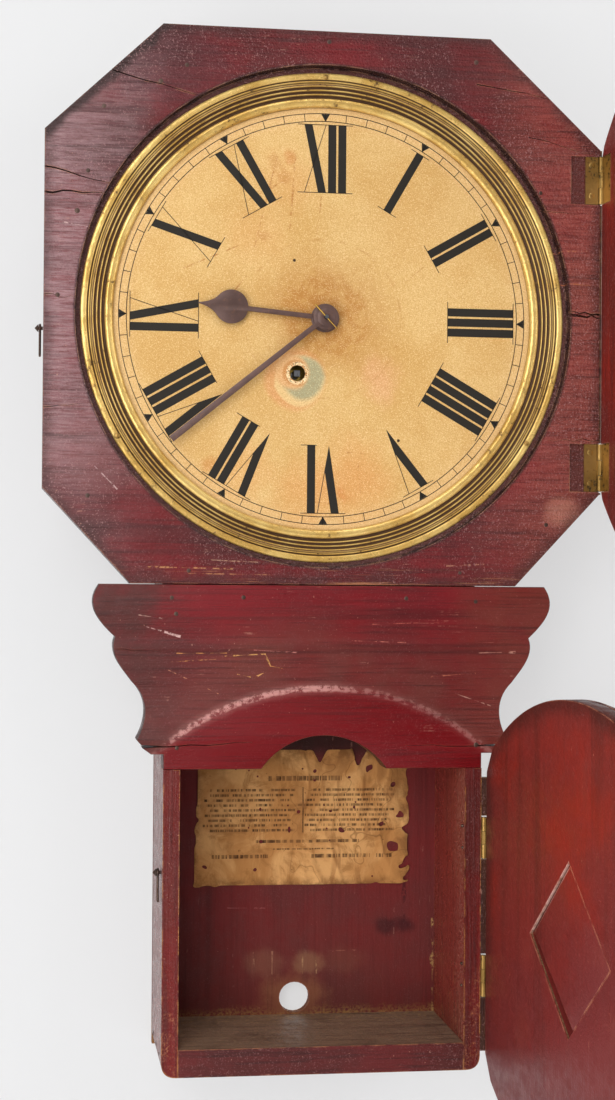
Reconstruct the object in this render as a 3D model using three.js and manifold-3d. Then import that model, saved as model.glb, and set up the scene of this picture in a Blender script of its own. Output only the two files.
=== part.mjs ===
// Octagon drop wall clock with both doors open, in millimetres.
// The front faces -Y, +X is to the right and +Z is up.
// The origin lies on the back of the case, on the axis of the hands.
import * as THREE from 'three';
import { mergeVertices } from 'three/addons/utils/BufferGeometryUtils.js';
import Module from 'manifold-3d';

const wasm = await Module();
wasm.setup();

// Fits shared by all pieces
const seatGap = 0.1;
const turnGap = 0.3;
const runGap = 0.2;
const overrun = 2;
const joinLength = 2;

// Case
const caseDepth = 88;
const frontBoard = 20;
const octagonHalfWidth = 205.5;
const octagonTop = 208;
const octagonTopHalf = 121;
const octagonUpperCorner = 129;
const octagonLowerCorner = 127.5;
const octagonBottom = 195.5;
const octagonShoulder = 24.8;
const openingRadius = 183;
const ledgeRadius = 170;
const ledgeDepth = 7.5;
const seamGap = 0.4;
const apronEarWidth = 51.3;
const apronHeight = 133.1;
const apronCrackHeight = 1.8;
const apronCrackLength = 17;
const archHalfWidth = 46;
const archRise = 24;
const boxHalfWidth = 117.2;
const boxSide = 12.2;
const boxDrop = 220.7;
const boxFloor = 20;
const boxCornerRadius = 11;
const sideTopZ = -150;
const backPanel = 6;
const headInset = 12;
const headBoard = 14;
const headRing = { top: octagonTop, bottom: octagonBottom };
const boxHoleRadius = 11.85;
const boxHoleX = -6.4;
const boxHoleLift = 1.3;
const labelWidth = 171;
const labelHeight = 107;
const labelThickness = 0.5;
const labelLeft = -86.6;
const labelRise = 6;
const hangerWidth = 28;
const hangerHeight = 34;
const hangerPlate = 1.5;
const hangerTop = 190;
const hangerHole = 4.6;
const hangerPassage = 6.6;

// Dial
const bezelRadius = 177;
const flangeWidth = 6.3;
const flangeThickness = 1.4;
const lipRadius = 155.5;
const lipWidth = 3;
const lipBack = 12.1;
const bezelWall = 1.3;
const dialRadius = 164;
const dialPaper = 0.4;
const dialPan = 0.8;
const dialCentreHole = 5.4;
const windingX = -19.7;
const windingZ = -40.4;
const windingHole = 6;

// Hands, with angles clockwise from the top
const hourAngle = 275.4;
const minuteAngle = 231.1;
const handThickness = 0.9;
const hourHandLift = 3.4;
const minuteHandLift = 7;
const hourHandLength = 94;
const hourHub = 10.5;
const hourStem = 3.6;
const hourBob = 69.6;
const hourBobRadius = 12.4;
const hourBobShoulder = 38;
const hourNeckShare = 0.4;
const minuteHandLength = 145;
const minuteHub = 7.5;
const minuteRootWidth = 3.6;
const minuteEndWidth = 5.1;
const arborTipLift = 10.4;
const taperPinLength = 24;
const taperPinRadius = 0.75;
const taperPinTipShare = 0.5;
const taperPinTilt = 47;
const taperPinLift = 8.9;

// Movement
const blockWidth = 12;
const blockDepth = 24;
const blockTop = 55;
const blockBottom = -60;
const plateThickness = 1.5;
const plateGap = 30;
const plateLeft = -66;
const plateRight = 40;
const plateTop = 72;
const plateBottom = -86;
const plateCorner = 6;
const postRadius = 3;
const postInset = 8;
const arborRadius = 1.5;
const pivotRadius = 0.9;
const pivotEnd = 0.5;
const windingArborRadius = 3;
const windingSquare = 4.4;
const pipeBore = 2.6;
const pipeRadius = 3.6;
const trundleShare = 0.2;
const shroudThickness = 1;
const pinionLength = 5.6;
const wheelThickness = 1.2;
const greatWheelThickness = 2;
const greatTeeth = 64;
const centrePinionTeeth = 8;
const centreTeeth = 60;
const centreWheelRadius = 24;
const thirdPinionTeeth = 6;
const thirdTeeth = 60;
const thirdWheelRadius = 22;
const escapePinionTeeth = 6;
const escapeTeeth = 36;
const escapeRadius = 13;
const escapeRoot = 10.8;
const escapeHeight = 42;
const cannonTeeth = 10;
const minuteWheelTeeth = 30;
const minutePinionTeeth = 8;
const hourWheelTeeth = 32;
const motionDistance = 18;
const motionPlane = 1;
const motionPinion = 2.2;
const studEnd = 2;
const greatPlane = 3;
const centrePlane = 8;
const thirdPlane = 13;
const escapePlane = 18.6;
const toothHeightShare = 0.42;
const toothRootShare = 0.248;
const toothTipShare = 0.08;
const toothReachShare = 0.8;
const ratchetTeeth = 16;
const ratchetRadius = 11;
const ratchetRoot = 9;
const ratchetThickness = 2;
const clickDistance = 22;
const clickLag = 45;
const clickBoss = 2.2;
const clickTip = 0.35;
const springInner = 3.6;
const springOuter = 25;
const springTurns = 7;
const springStrip = 0.5;
const springWidth = 15;
const springPlane = 10;

// Escapement and pendulum
const pendulumLength = 248;
const pendulumPivotHeight = 59;
const pendulumSetback = 10;
const vergeSpan = 8.6;
const vergeDrop = 5.2;
const vergeStrip = 1.3;
const vergeWidth = 3;
const vergeEndGap = 3;
const crutchLength = 44;
const crutchWire = 1.6;
const forkGap = 0.5;
const forkWall = 1.2;
const rodRadius = 1;
const suspensionWidth = 4;
const suspensionStrip = 0.4;
const suspensionLength = 14;
const suspensionTop = 6;
const suspensionSlot = 0.9;
const suspensionPostHalf = 4;
const suspensionPostFoot = 3.5;
const suspensionPostHeight = 10.5;
const bobRadius = 26;
const bobThickness = 9;
const bobEdge = 1.2;
const nutRadius = 5;
const nutHeight = 4;
const rodEnd = 8;

// Doors: the overhang is how far their round outline would pass the hinge edge
const doorOpening = 99;
const doorGap = 0.4;
const doorThickness = 24;
const doorBand = 18;
const doorEdgeClearance = 0.6;
const upperDoorX = -2;
const upperDoorOverhang = 35.7;
const upperHingeProud = 0.4;
const sightRadius = 160;
const rabbetRadius = 168;
const rabbetDepth = 8;
const glassThickness = 2.5;
const upperCornerShare = 0.965;
const lowerDoorX = -3;
const lowerDoorOverhang = 43.8;
const lowerDoorShare = 0.5242;
const lowerCornerShare = 0.92;
const lowerBoard = 13;
const rimWidth = 40;
const rimBead = 20;
const sightBead = 18;
const diamondHalfWidth = 52;
const diamondHalfHeight = 58;
const diamondStep = 6;

// Hinges and hooks
const leafThickness = 1.2;
const leafWidth = 12;
const knuckleRadius = 2.2;
const hingePin = 1;
const upperHingeHeight = 35;
const upperHingeTopZ = 106;
const upperHingeBottomZ = -107.4;
const lowerHingeHeight = 30;
const lowerHingeTopShare = 0.769;
const lowerHingeBottomShare = 0.3113;
const mortiseExtra = 11;
const hookLength = 20;
const hookWire = 0.9;
const hookEye = 2.4;
const hookStandoff = 2.2;
const upperHookZ = -12;
const lowerHookZ = -405;
const hookSetback = 14;

// Fineness of round shapes
const fineSegments = 64;
const roundSegments = 24;
const smallSegments = 12;
const tinySegments = 8;
const trundleSegments = 6;

// Sizes and places that follow the ones above
const octagonBottomHalf = boxHalfWidth + octagonShoulder;
const apronHalfWidth = boxHalfWidth + apronEarWidth;
const apronTopZ = -octagonBottom - seamGap;
const apronBottomZ = apronTopZ - apronHeight;
const boxBottomZ = apronBottomZ - boxDrop;
const lowerDoorZ = boxBottomZ + lowerDoorShare * boxDrop;
const labelTop = apronBottomZ + labelRise;
const upperHingeX = octagonHalfWidth + upperHingeProud;
const upperDoorRadius = upperHingeX - doorEdgeClearance - upperDoorX + upperDoorOverhang;
const lowerDoorRadius = boxHalfWidth - lowerDoorX + lowerDoorOverhang;
const frontY = -caseDepth;
const panelY = -backPanel - seatGap;
const behindFrontY = frontY + frontBoard + seatGap;
const dialFrontY = frontY + lipBack + seatGap;
const panFrontY = dialFrontY + dialPaper + seatGap;
const backPlateY = panelY - blockDepth - seatGap;
const postBackY = backPlateY - plateThickness;
const frontPlateBackY = postBackY - plateGap;
const frontPlateY = frontPlateBackY - plateThickness;
const boxFloorZ = boxBottomZ + boxFloor;
const arborTipY = dialFrontY - arborTipLift;
const hourHandBackY = dialFrontY - hourHandLift;
const minuteHandBackY = dialFrontY - minuteHandLift;
const pendulumY = backPlateY + pendulumSetback;

const degrees = THREE.MathUtils.degToRad;
const clock = new THREE.Group();

// Finishes
const finish = (color, roughness, metalness) =>
  new THREE.MeshStandardMaterial({ color, roughness, metalness });
const redPaint = finish(0x6e2430, 0.5, 0);
const darkPaint = finish(0x5f2526, 0.6, 0);
const bareWood = finish(0x8a6a48, 0.8, 0);
const brass = finish(0xcaa62f, 0.3, 1);
const agedBrass = finish(0x8a6a3a, 0.45, 1);
const steel = finish(0x6a6a6e, 0.35, 1);
const darkSteel = finish(0x4a3a38, 0.5, 0.8);
const zinc = finish(0xa0a2a0, 0.5, 1);
const dialFinish = finish(0xe8c98f, 0.8, 0);
const labelFinish = finish(0xb98c55, 0.9, 0);
const glassFinish = finish(0xdfe8e6, 0.05, 0);

// Joins and cuts of closed meshes
function weld(geometry) {
  const bare = geometry.index ? geometry.toNonIndexed() : geometry.clone();
  bare.deleteAttribute('normal');
  bare.deleteAttribute('uv');
  const merged = mergeVertices(bare, 1e-4);
  const index = merged.index.array;
  const kept = [];
  for (let i = 0; i < index.length; i += 3) {
    const [a, b, c] = [index[i], index[i + 1], index[i + 2]];
    if (a !== b && b !== c && a !== c) kept.push(a, b, c);
  }
  merged.setIndex(kept);
  return merged;
}

function solid(geometry) {
  const welded = weld(geometry);
  return new wasm.Manifold(new wasm.Mesh({
    numProp: 3,
    vertProperties: new Float32Array(welded.attributes.position.array),
    triVerts: new Uint32Array(welded.index.array),
  }));
}

function geometryOf(made) {
  const mesh = made.getMesh();
  const geometry = new THREE.BufferGeometry();
  geometry.setAttribute('position', new THREE.BufferAttribute(mesh.vertProperties, 3));
  geometry.setIndex(new THREE.BufferAttribute(mesh.triVerts, 1));
  geometry.computeVertexNormals();
  return geometry;
}

const join = (...parts) => geometryOf(parts.map(solid).reduce((a, b) => a.add(b)));
const cut = (body, ...tools) => geometryOf(tools.map(solid).reduce((a, b) => a.subtract(b), solid(body)));
const common = (body, tool) => geometryOf(solid(body).intersect(solid(tool)));

function add(name, geometry, material, parent = clock) {
  const mesh = new THREE.Mesh(geometry, material);
  mesh.name = name;
  parent.add(mesh);
  return mesh;
}

// A shape drawn in X and Z, from its front face at frontFace back to backFace along Y
function board(shape, frontFace, backFace, segments = smallSegments) {
  const geometry = new THREE.ExtrudeGeometry(shape, {
    depth: backFace - frontFace, bevelEnabled: false, curveSegments: segments,
  });
  return geometry.rotateX(degrees(90)).translate(0, backFace, 0);
}

// A block between two corners
function block(x0, y0, z0, x1, y1, z1) {
  return new THREE.BoxGeometry(x1 - x0, y1 - y0, z1 - z0)
    .translate((x0 + x1) / 2, (y0 + y1) / 2, (z0 + z1) / 2);
}

// A closed ring or a turned solid about the Y axis, from points of radius and Y
function turned(points, segments = roundSegments) {
  const area = points.reduce((sum, [r, y], i) => {
    const [nextR, nextY] = points[(i + 1) % points.length];
    return sum + r * nextY - nextR * y;
  }, 0);
  const ordered = area > 0 ? points : [...points].reverse();
  const closed = [...ordered, ordered[0]].map(([r, y]) => new THREE.Vector2(r, y));
  return new THREE.LatheGeometry(closed, segments);
}

// A round bar along Y between two Y values
function bar(radius, y0, y1, x = 0, z = 0, segments = smallSegments) {
  return new THREE.CylinderGeometry(radius, radius, Math.abs(y1 - y0), segments)
    .translate(x, (y0 + y1) / 2, z);
}

// An upright round bar on the Z axis
function upright(low, high, radius, segments = smallSegments) {
  return new THREE.CylinderGeometry(radius, radius, high - low, segments)
    .rotateX(degrees(90)).translate(0, 0, (low + high) / 2);
}

function polygon(points) {
  return new THREE.Shape(points.map(([x, z]) => new THREE.Vector2(x, z)));
}

function circlePath(x, z, radius, segments = smallSegments) {
  return new THREE.Path(Array.from({ length: segments }, (_, i) => {
    const angle = degrees(360) * i / segments;
    return new THREE.Vector2(x + radius * Math.cos(angle), z + radius * Math.sin(angle));
  }));
}

function rectangle(left, right, bottom, top) {
  return polygon([[left, bottom], [right, bottom], [right, top], [left, top]]);
}

// Octagon of the head, and the same outline drawn in by a distance
function octagonPoints() {
  return [
    [octagonTopHalf, headRing.top], [-octagonTopHalf, headRing.top],
    [-octagonHalfWidth, octagonUpperCorner], [-octagonHalfWidth, -octagonLowerCorner],
    [-octagonBottomHalf, -headRing.bottom], [octagonBottomHalf, -headRing.bottom],
    [octagonHalfWidth, -octagonLowerCorner], [octagonHalfWidth, octagonUpperCorner],
  ];
}

function insetPoints(points, distance) {
  const edges = points.map(([x, z], i) => {
    const [nextX, nextZ] = points[(i + 1) % points.length];
    const length = Math.hypot(nextX - x, nextZ - z);
    const normal = [-(nextZ - z) / length, (nextX - x) / length];
    return { normal, offset: normal[0] * x + normal[1] * z + distance };
  });
  return points.map((_, i) => {
    const a = edges[(i + edges.length - 1) % edges.length];
    const b = edges[i];
    const det = a.normal[0] * b.normal[1] - a.normal[1] * b.normal[0];
    return [
      (a.offset * b.normal[1] - b.offset * a.normal[1]) / det,
      (a.normal[0] * b.offset - b.normal[0] * a.offset) / det,
    ];
  });
}

// Hinge places: the axis of each pair, and the heights of their middles
const upperAxis = { x: upperHingeX, y: frontY - doorGap / 2 };
const lowerAxis = { x: boxHalfWidth + knuckleRadius + seatGap, y: frontY - doorGap / 2 };
const upperHinges = { upper_hinge_top: upperHingeTopZ, upper_hinge_bottom: upperHingeBottomZ };
const lowerHinges = {
  lower_hinge_top: boxBottomZ + lowerHingeTopShare * boxDrop,
  lower_hinge_bottom: boxBottomZ + lowerHingeBottomShare * boxDrop,
};

// Octagonal front board with its rabbeted opening and hinge mortises
function buildOctagon() {
  const shape = polygon(octagonPoints());
  shape.holes.push(circlePath(0, 0, ledgeRadius, fineSegments));
  const plank = board(shape, frontY, frontY + frontBoard);
  const rabbet = bar(openingRadius, frontY - overrun, frontY + ledgeDepth, 0, 0, fineSegments);
  const cuts = Object.values(upperHinges).flatMap((z) => {
    const low = z - upperHingeHeight / 2 - turnGap;
    const high = z + upperHingeHeight / 2 + turnGap;
    const leafEnd = upperHingeX - leafWidth - mortiseExtra;
    const deep = knuckleRadius + turnGap;
    const [before, beyond] = [frontY - overrun, octagonHalfWidth + overrun];
    return [
      block(leafEnd, before, low, beyond, frontY + leafThickness + seatGap, high),
      block(upperHingeX - deep, before, low, beyond, frontY + deep, high),
    ];
  });
  add('front_octagon', cut(plank, rabbet, ...cuts), redPaint);
}

// Scalloped ear of the apron, as shares of its half width and its height
const earShares = [
  [[0.974, 0], [1.03, 0.1], [0.995, 0.18], [0.905, 0.285]],
  [[0.905, 0.285], [0.935, 0.38], [0.87, 0.46], [0.83, 0.53]],
  [[0.83, 0.53], [0.755, 0.62], [0.765, 0.74], [0.81, 0.84]],
];
const earTipShare = [0.79, 0.868];
const stripTipShare = [0.785, 0.884];
const stripFootShare = [0.748, 0.918];

function apronEar(side) {
  const place = ([u, v]) => new THREE.Vector2(side * u * apronHalfWidth, apronTopZ - v * apronHeight);
  const points = earShares.flatMap((shares) => {
    const curve = new THREE.CubicBezierCurve(...shares.map(place));
    return curve.getPoints(tinySegments).slice(0, -1);
  });
  const tip = place(earTipShare);
  const strip = place(stripTipShare);
  const crack = new THREE.Vector2(tip.x - side * apronCrackLength, tip.y - apronCrackHeight / 2);
  const edgeX = side * boxHalfWidth;
  return [
    ...points, place(earShares.at(-1).at(-1)), tip, crack, strip, place(stripFootShare),
    new THREE.Vector2(edgeX, place(stripFootShare).y), new THREE.Vector2(edgeX, apronBottomZ),
  ];
}

function archPoints() {
  const radius = (archHalfWidth ** 2 + archRise ** 2) / (2 * archRise);
  const half = Math.asin(archHalfWidth / radius);
  const count = roundSegments / 2;
  return Array.from({ length: count + 1 }, (_, i) => {
    const angle = half * (1 - 2 * i / count);
    const height = archRise - radius * (1 - Math.cos(angle));
    return new THREE.Vector2(-radius * Math.sin(angle), apronBottomZ + height);
  });
}

function buildApron() {
  const left = apronEar(-1);
  const right = apronEar(1).reverse();
  const shape = new THREE.Shape([...left, ...archPoints(), ...right]);
  add('apron_board', board(shape, frontY, frontY + frontBoard), redPaint);
}

// Boards of the octagonal box behind the front
function buildHead() {
  const outer = insetPoints(octagonPoints(), headInset);
  const inner = insetPoints(octagonPoints(), headInset + headBoard);
  const names = [
    'head_top_board', 'head_upper_left_board', 'head_left_board', 'head_lower_left_board', null,
    'head_lower_right_board', 'head_right_board', 'head_upper_right_board',
  ];
  names.forEach((name, i) => {
    if (!name) return;
    const next = (i + 1) % outer.length;
    const corners = name.startsWith('head_lower')
      ? lowerHeadBoard(outer, inner, i, next)
      : [outer[i], outer[next], inner[next], inner[i]];
    const shape = polygon(shrink(corners));
    add(name, board(shape, behindFrontY, panelY), darkPaint);
  });
}

// A lower board turns in under the head as far as the side of the lower box
function lowerHeadBoard(outer, inner, from, to) {
  const side = Math.sign(outer[from][0]);
  const foot = side * (boxHalfWidth + seatGap);
  return side < 0
    ? [outer[from], outer[to], [foot, outer[to][1]], [foot, inner[to][1]], inner[to], inner[from]]
    : [[foot, outer[from][1]], outer[from], outer[to], inner[to], inner[from], [foot, inner[from][1]]];
}

// Draws a board's ends in by half a seat gap, towards its own middle
function shrink(points) {
  const count = points.length;
  const middle = points.reduce(([x, z], [px, pz]) => [x + px / count, z + pz / count], [0, 0]);
  return points.map(([x, z]) => {
    const length = Math.hypot(x - middle[0], z - middle[1]);
    const share = 1 - seatGap / length;
    return [middle[0] + (x - middle[0]) * share, middle[1] + (z - middle[1]) * share];
  });
}

// Lower box
function sideShape(side) {
  const outerX = side * boxHalfWidth;
  const innerX = side * (boxHalfWidth - boxSide);
  const shape = new THREE.Shape();
  shape.moveTo(innerX, boxBottomZ);
  shape.lineTo(outerX - side * boxCornerRadius, boxBottomZ);
  shape.quadraticCurveTo(outerX, boxBottomZ, outerX, boxBottomZ + boxCornerRadius);
  shape.lineTo(outerX, apronBottomZ - seatGap);
  shape.lineTo(innerX, apronBottomZ - seatGap);
  shape.closePath();
  return shape;
}

function buildBox() {
  for (const [name, side] of [['box_side_left', -1], ['box_side_right', 1]]) {
    const lower = board(sideShape(side), frontY, panelY);
    const xs = [side * boxHalfWidth, side * (boxHalfWidth - boxSide)].sort((a, b) => a - b);
    const upper = block(xs[0], behindFrontY, apronBottomZ - overrun, xs[1], panelY, sideTopZ);
    add(name, join(lower, upper), redPaint);
  }
  const inner = boxHalfWidth - boxSide - seatGap;
  add('box_bottom', block(-inner, frontY, boxBottomZ, inner, panelY, boxFloorZ), darkPaint);
  const panel = rectangle(-boxHalfWidth, boxHalfWidth, boxBottomZ, -headRing.bottom + headInset - seatGap);
  const holeZ = boxFloorZ + boxHoleLift + boxHoleRadius;
  panel.holes.push(circlePath(boxHoleX, holeZ, boxHoleRadius, roundSegments));
  add('box_back_panel', board(panel, -backPanel, 0), darkPaint);
}

// Torn paper label: its missing notch and corners as shares of its width and height
const labelShares = [
  [0, 0], [1, 0.01], [0.99, 0.3], [1, 0.62], [0.985, 0.8], [1, 0.97],
  [0.79, 0.985], [0.755, 0.86], [0.735, 1], [0.5, 0.99], [0.02, 1],
];

function buildLabel() {
  const bottom = labelTop - labelHeight;
  const points = labelShares.map(([u, v]) => [labelLeft + u * labelWidth, bottom + v * labelHeight]);
  const back = -backPanel - seatGap;
  add('paper_label', board(polygon(points), back - labelThickness, back), labelFinish);
}

function buildHeadBack() {
  const outline = insetPoints(octagonPoints(), headInset);
  const shape = polygon(outline);
  const hangerZ = hangerTop - hangerHeight / 2;
  shape.holes.push(circlePath(0, hangerZ, hangerPassage));
  const recess = block(
    -hangerWidth / 2 - seatGap, -hangerPlate - 2 * seatGap, hangerTop - hangerHeight - seatGap,
    hangerWidth / 2 + seatGap, overrun, hangerTop + seatGap);
  add('head_back_panel', cut(board(shape, -backPanel, 0), recess), darkPaint);
  const plate = rectangle(-hangerWidth / 2, hangerWidth / 2, hangerTop - hangerHeight, hangerTop);
  plate.holes.push(circlePath(0, hangerZ, hangerHole));
  add('hanger_plate', board(plate, -hangerPlate - seatGap, -seatGap), steel);
}

// Dial pan, its paper and the brass bezel in front of them
function dialShape(radius) {
  const shape = new THREE.Shape(circlePath(0, 0, radius, fineSegments).getPoints());
  shape.holes.push(circlePath(0, 0, dialCentreHole), circlePath(windingX, windingZ, windingHole));
  return shape;
}

function buildDial() {
  add('dial_pan', board(dialShape(dialRadius), panFrontY, panFrontY + dialPan), zinc);
  add('dial_paper', board(dialShape(lipRadius + lipWidth), dialFrontY, dialFrontY + dialPaper), dialFinish);
  const flangeBackY = frontY + ledgeDepth - seatGap;
  const flangeFrontY = flangeBackY - flangeThickness;
  const lipY = frontY + lipBack;
  const lipFrontY = lipY - bezelWall;
  const coneRadius = bezelRadius - flangeWidth;
  const behindRadius = ledgeRadius - runGap;
  const bezel = [
    [bezelRadius, flangeBackY], [bezelRadius, flangeFrontY], [coneRadius, flangeFrontY],
    [lipRadius + lipWidth, lipFrontY - flangeThickness], [lipRadius, lipFrontY], [lipRadius, lipY],
    [lipRadius + lipWidth, lipY], [behindRadius - bezelWall, flangeBackY + bezelWall],
    [behindRadius, flangeBackY],
  ];
  add('dial_bezel', turned(bezel, fineSegments), brass);
}

// Toothed wheels are drawn in X and Z about their own centre
function gearShape(teeth, pitchRadius, phase = 0) {
  const pitch = degrees(360) / teeth;
  const height = toothHeightShare * pitch * pitchRadius;
  const shape = new THREE.Shape();
  const [root, tip] = [pitchRadius - height, pitchRadius + height * toothReachShare];
  const corners = [
    [root, -toothRootShare], [tip, -toothTipShare], [tip, toothTipShare], [root, toothRootShare],
  ];
  for (let i = 0; i < teeth; i += 1) {
    corners.forEach(([radius, share], k) => {
      const angle = (i + phase + share) * pitch;
      const point = [radius * Math.cos(angle), radius * Math.sin(angle)];
      if (i === 0 && k === 0) shape.moveTo(...point);
      else shape.lineTo(...point);
    });
  }
  shape.closePath();
  return shape;
}

function wheel(teeth, radius, bore, frontFace, thickness, phase) {
  const shape = gearShape(teeth, radius, phase);
  if (bore) shape.holes.push(circlePath(0, 0, bore));
  return board(shape, frontFace, frontFace + thickness, tinySegments);
}

// Lantern pinion: two shrouds with round trundles between them, on a core
function lantern(teeth, pitchRadius, core, frontFace, length, phase = 0) {
  const pitch = degrees(360) / teeth;
  const trundle = trundleShare * pitch * pitchRadius;
  const shroud = pitchRadius + trundle + runGap;
  const parts = [
    bar(shroud, frontFace, frontFace + shroudThickness),
    bar(shroud, frontFace + length - shroudThickness, frontFace + length),
    bar(core, frontFace, frontFace + length, 0, 0, tinySegments),
  ];
  for (let i = 0; i < teeth; i += 1) {
    const angle = (i + phase) * pitch;
    const [x, z] = [pitchRadius * Math.cos(angle), pitchRadius * Math.sin(angle)];
    parts.push(bar(trundle, frontFace, frontFace + length, x, z, trundleSegments));
  }
  return parts;
}

// Arbor places of the train, from the wheels' sizes
const windingDistance = Math.hypot(windingX, windingZ);
const greatRadius = windingDistance * greatTeeth / (greatTeeth + centrePinionTeeth);
const centrePinionRadius = windingDistance - greatRadius;
const thirdPinionRadius = centreWheelRadius * thirdPinionTeeth / centreTeeth;
const escapePinionRadius = thirdWheelRadius * escapePinionTeeth / thirdTeeth;
const third = (() => {
  const near = centreWheelRadius + thirdPinionRadius;
  const far = thirdWheelRadius + escapePinionRadius;
  const z = (near ** 2 - far ** 2 + escapeHeight ** 2) / (2 * escapeHeight);
  return { x: -Math.sqrt(near ** 2 - z ** 2), z };
})();
const verge = { x: 0, z: pendulumPivotHeight };

// The wheel's tooth gap faces the pinion's trundle along the line of centres
function meshPhases(teeth, pinionTeeth, dx, dz) {
  const line = Math.atan2(dz, dx) / degrees(360);
  return { wheelPhase: line * teeth + 1 / 2, pinionPhase: (line + 1 / 2) * pinionTeeth };
}

const powerMesh = meshPhases(greatTeeth, centrePinionTeeth, -windingX, -windingZ);
const centreMesh = meshPhases(centreTeeth, thirdPinionTeeth, third.x, third.z);
const thirdMesh = meshPhases(thirdTeeth, escapePinionTeeth, -third.x, escapeHeight - third.z);

// Movement plates, with the posts on the back plate and the blocks that carry it
function plateShape(holes) {
  const shape = new THREE.Shape();
  const [l, r, b, t, c] = [plateLeft, plateRight, plateBottom, plateTop, plateCorner];
  shape.moveTo(l + c, b);
  shape.lineTo(r - c, b);
  shape.quadraticCurveTo(r, b, r, b + c);
  shape.lineTo(r, t - c);
  shape.quadraticCurveTo(r, t, r - c, t);
  shape.lineTo(l + c, t);
  shape.quadraticCurveTo(l, t, l, t - c);
  shape.lineTo(l, b + c);
  shape.quadraticCurveTo(l, b, l + c, b);
  for (const [x, z, radius] of holes) shape.holes.push(circlePath(x, z, radius + runGap));
  return shape;
}

function buildPlates() {
  const holes = [
    [0, 0, arborRadius], [windingX, windingZ, windingArborRadius], [third.x, third.z, pivotRadius],
    [0, escapeHeight, pivotRadius], [verge.x, verge.z, pivotRadius],
  ];
  const corners = [
    [plateLeft, plateBottom], [plateRight, plateBottom], [plateLeft, plateTop], [plateRight, plateTop],
  ];
  const posts = corners.map(([x, z]) => bar(
    postRadius, frontPlateBackY + seatGap, postBackY + plateThickness / 2,
    x - Math.sign(x) * postInset, z - Math.sign(z) * postInset));
  const back = board(plateShape(holes), postBackY, backPlateY, tinySegments);
  add('back_plate', join(back, ...posts), brass);
  const front = board(plateShape(holes), frontPlateY, frontPlateBackY, tinySegments);
  const studY = frontPlateY - motionPlane - motionPinion - wheelThickness - studEnd;
  const stud = bar(arborRadius, studY, frontPlateBackY - plateThickness / 2, motionDistance, 0);
  add('front_plate', join(front, stud), brass);
  const blocks = { movement_block_left: plateLeft, movement_block_right: plateRight - blockWidth };
  for (const [name, x] of Object.entries(blocks)) {
    add(name, block(x, backPlateY + seatGap, blockBottom, x + blockWidth, panelY, blockTop), bareWood);
  }
}

// Great wheel, winding arbor with its ratchet, click and mainspring
function ratchetShape() {
  const pitch = degrees(360) / ratchetTeeth;
  const shape = new THREE.Shape();
  for (let i = 0; i < ratchetTeeth; i += 1) {
    const angle = i * pitch;
    const [c, s] = [Math.cos(angle), Math.sin(angle)];
    if (i === 0) shape.moveTo(ratchetRoot * c, ratchetRoot * s);
    else shape.lineTo(ratchetRoot * c, ratchetRoot * s);
    shape.lineTo(ratchetRadius * c, ratchetRadius * s);
  }
  shape.closePath();
  return shape;
}

function clickShape() {
  const turn = (radius, angle) => new THREE.Vector2(radius * Math.cos(angle), radius * Math.sin(angle));
  const pivot = turn(clickDistance, -degrees(clickLag));
  const reach = ratchetRadius + turnGap + clickTip;
  const tip = turn(reach, -(clickTip + turnGap) / reach);
  const along = tip.clone().sub(pivot).normalize();
  const across = new THREE.Vector2(-along.y, along.x);
  const offset = (point, distance) => point.clone().addScaledVector(across, distance);
  const shape = new THREE.Shape();
  const arc = Array.from({ length: smallSegments + 1 }, (_, i) => {
    const angle = Math.atan2(across.y, across.x) + degrees(180) * i / smallSegments;
    return pivot.clone().add(new THREE.Vector2(Math.cos(angle), Math.sin(angle)).multiplyScalar(clickBoss));
  });
  shape.setFromPoints([...arc, offset(tip, -clickTip), offset(tip, clickTip)]);
  shape.holes.push(circlePath(pivot.x, pivot.y, pivotRadius + runGap));
  return { shape, pivot };
}

function buildPower() {
  const planeY = frontPlateBackY + greatPlane;
  const power = new THREE.Group();
  power.position.set(windingX, 0, windingZ);
  clock.add(power);
  const click = clickShape();
  const middleY = planeY + greatWheelThickness / 2;
  const behindY = planeY + greatWheelThickness;
  const bore = windingArborRadius + runGap;
  const disc = wheel(greatTeeth, greatRadius, bore, planeY, greatWheelThickness, powerMesh.wheelPhase);
  const pin = bar(pivotRadius, middleY, behindY + ratchetThickness, click.pivot.x, click.pivot.y);
  add('great_wheel', join(disc, pin), brass, power);
  const ratchetY = behindY + runGap;
  const half = windingSquare / 2;
  const arbor = join(
    bar(windingArborRadius, frontPlateY - runGap, backPlateY, 0, 0, smallSegments),
    block(-half, panFrontY + dialPan + runGap, -half, half, frontPlateY, half),
    board(ratchetShape(), ratchetY, ratchetY + ratchetThickness));
  add('winding_arbor', arbor, steel, power);
  const clickEndY = ratchetY + ratchetThickness - runGap;
  add('click', board(click.shape, ratchetY, clickEndY, tinySegments), steel, power);
  add('mainspring', mainspringGeometry(), steel, power);
}

// Open spiral strip, from its inner end round the arbor to its outer end
function mainspringGeometry() {
  const count = springTurns * smallSegments;
  const rail = (offset) => Array.from({ length: count + 1 }, (_, i) => {
    const angle = degrees(360) * i / smallSegments;
    const radius = springInner + (springOuter - springInner) * i / count + offset;
    return new THREE.Vector2(radius * Math.cos(angle), radius * Math.sin(angle));
  });
  const shape = new THREE.Shape([...rail(0), ...rail(springStrip).reverse()]);
  const front = frontPlateBackY + springPlane;
  return board(shape, front, front + springWidth);
}

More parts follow.
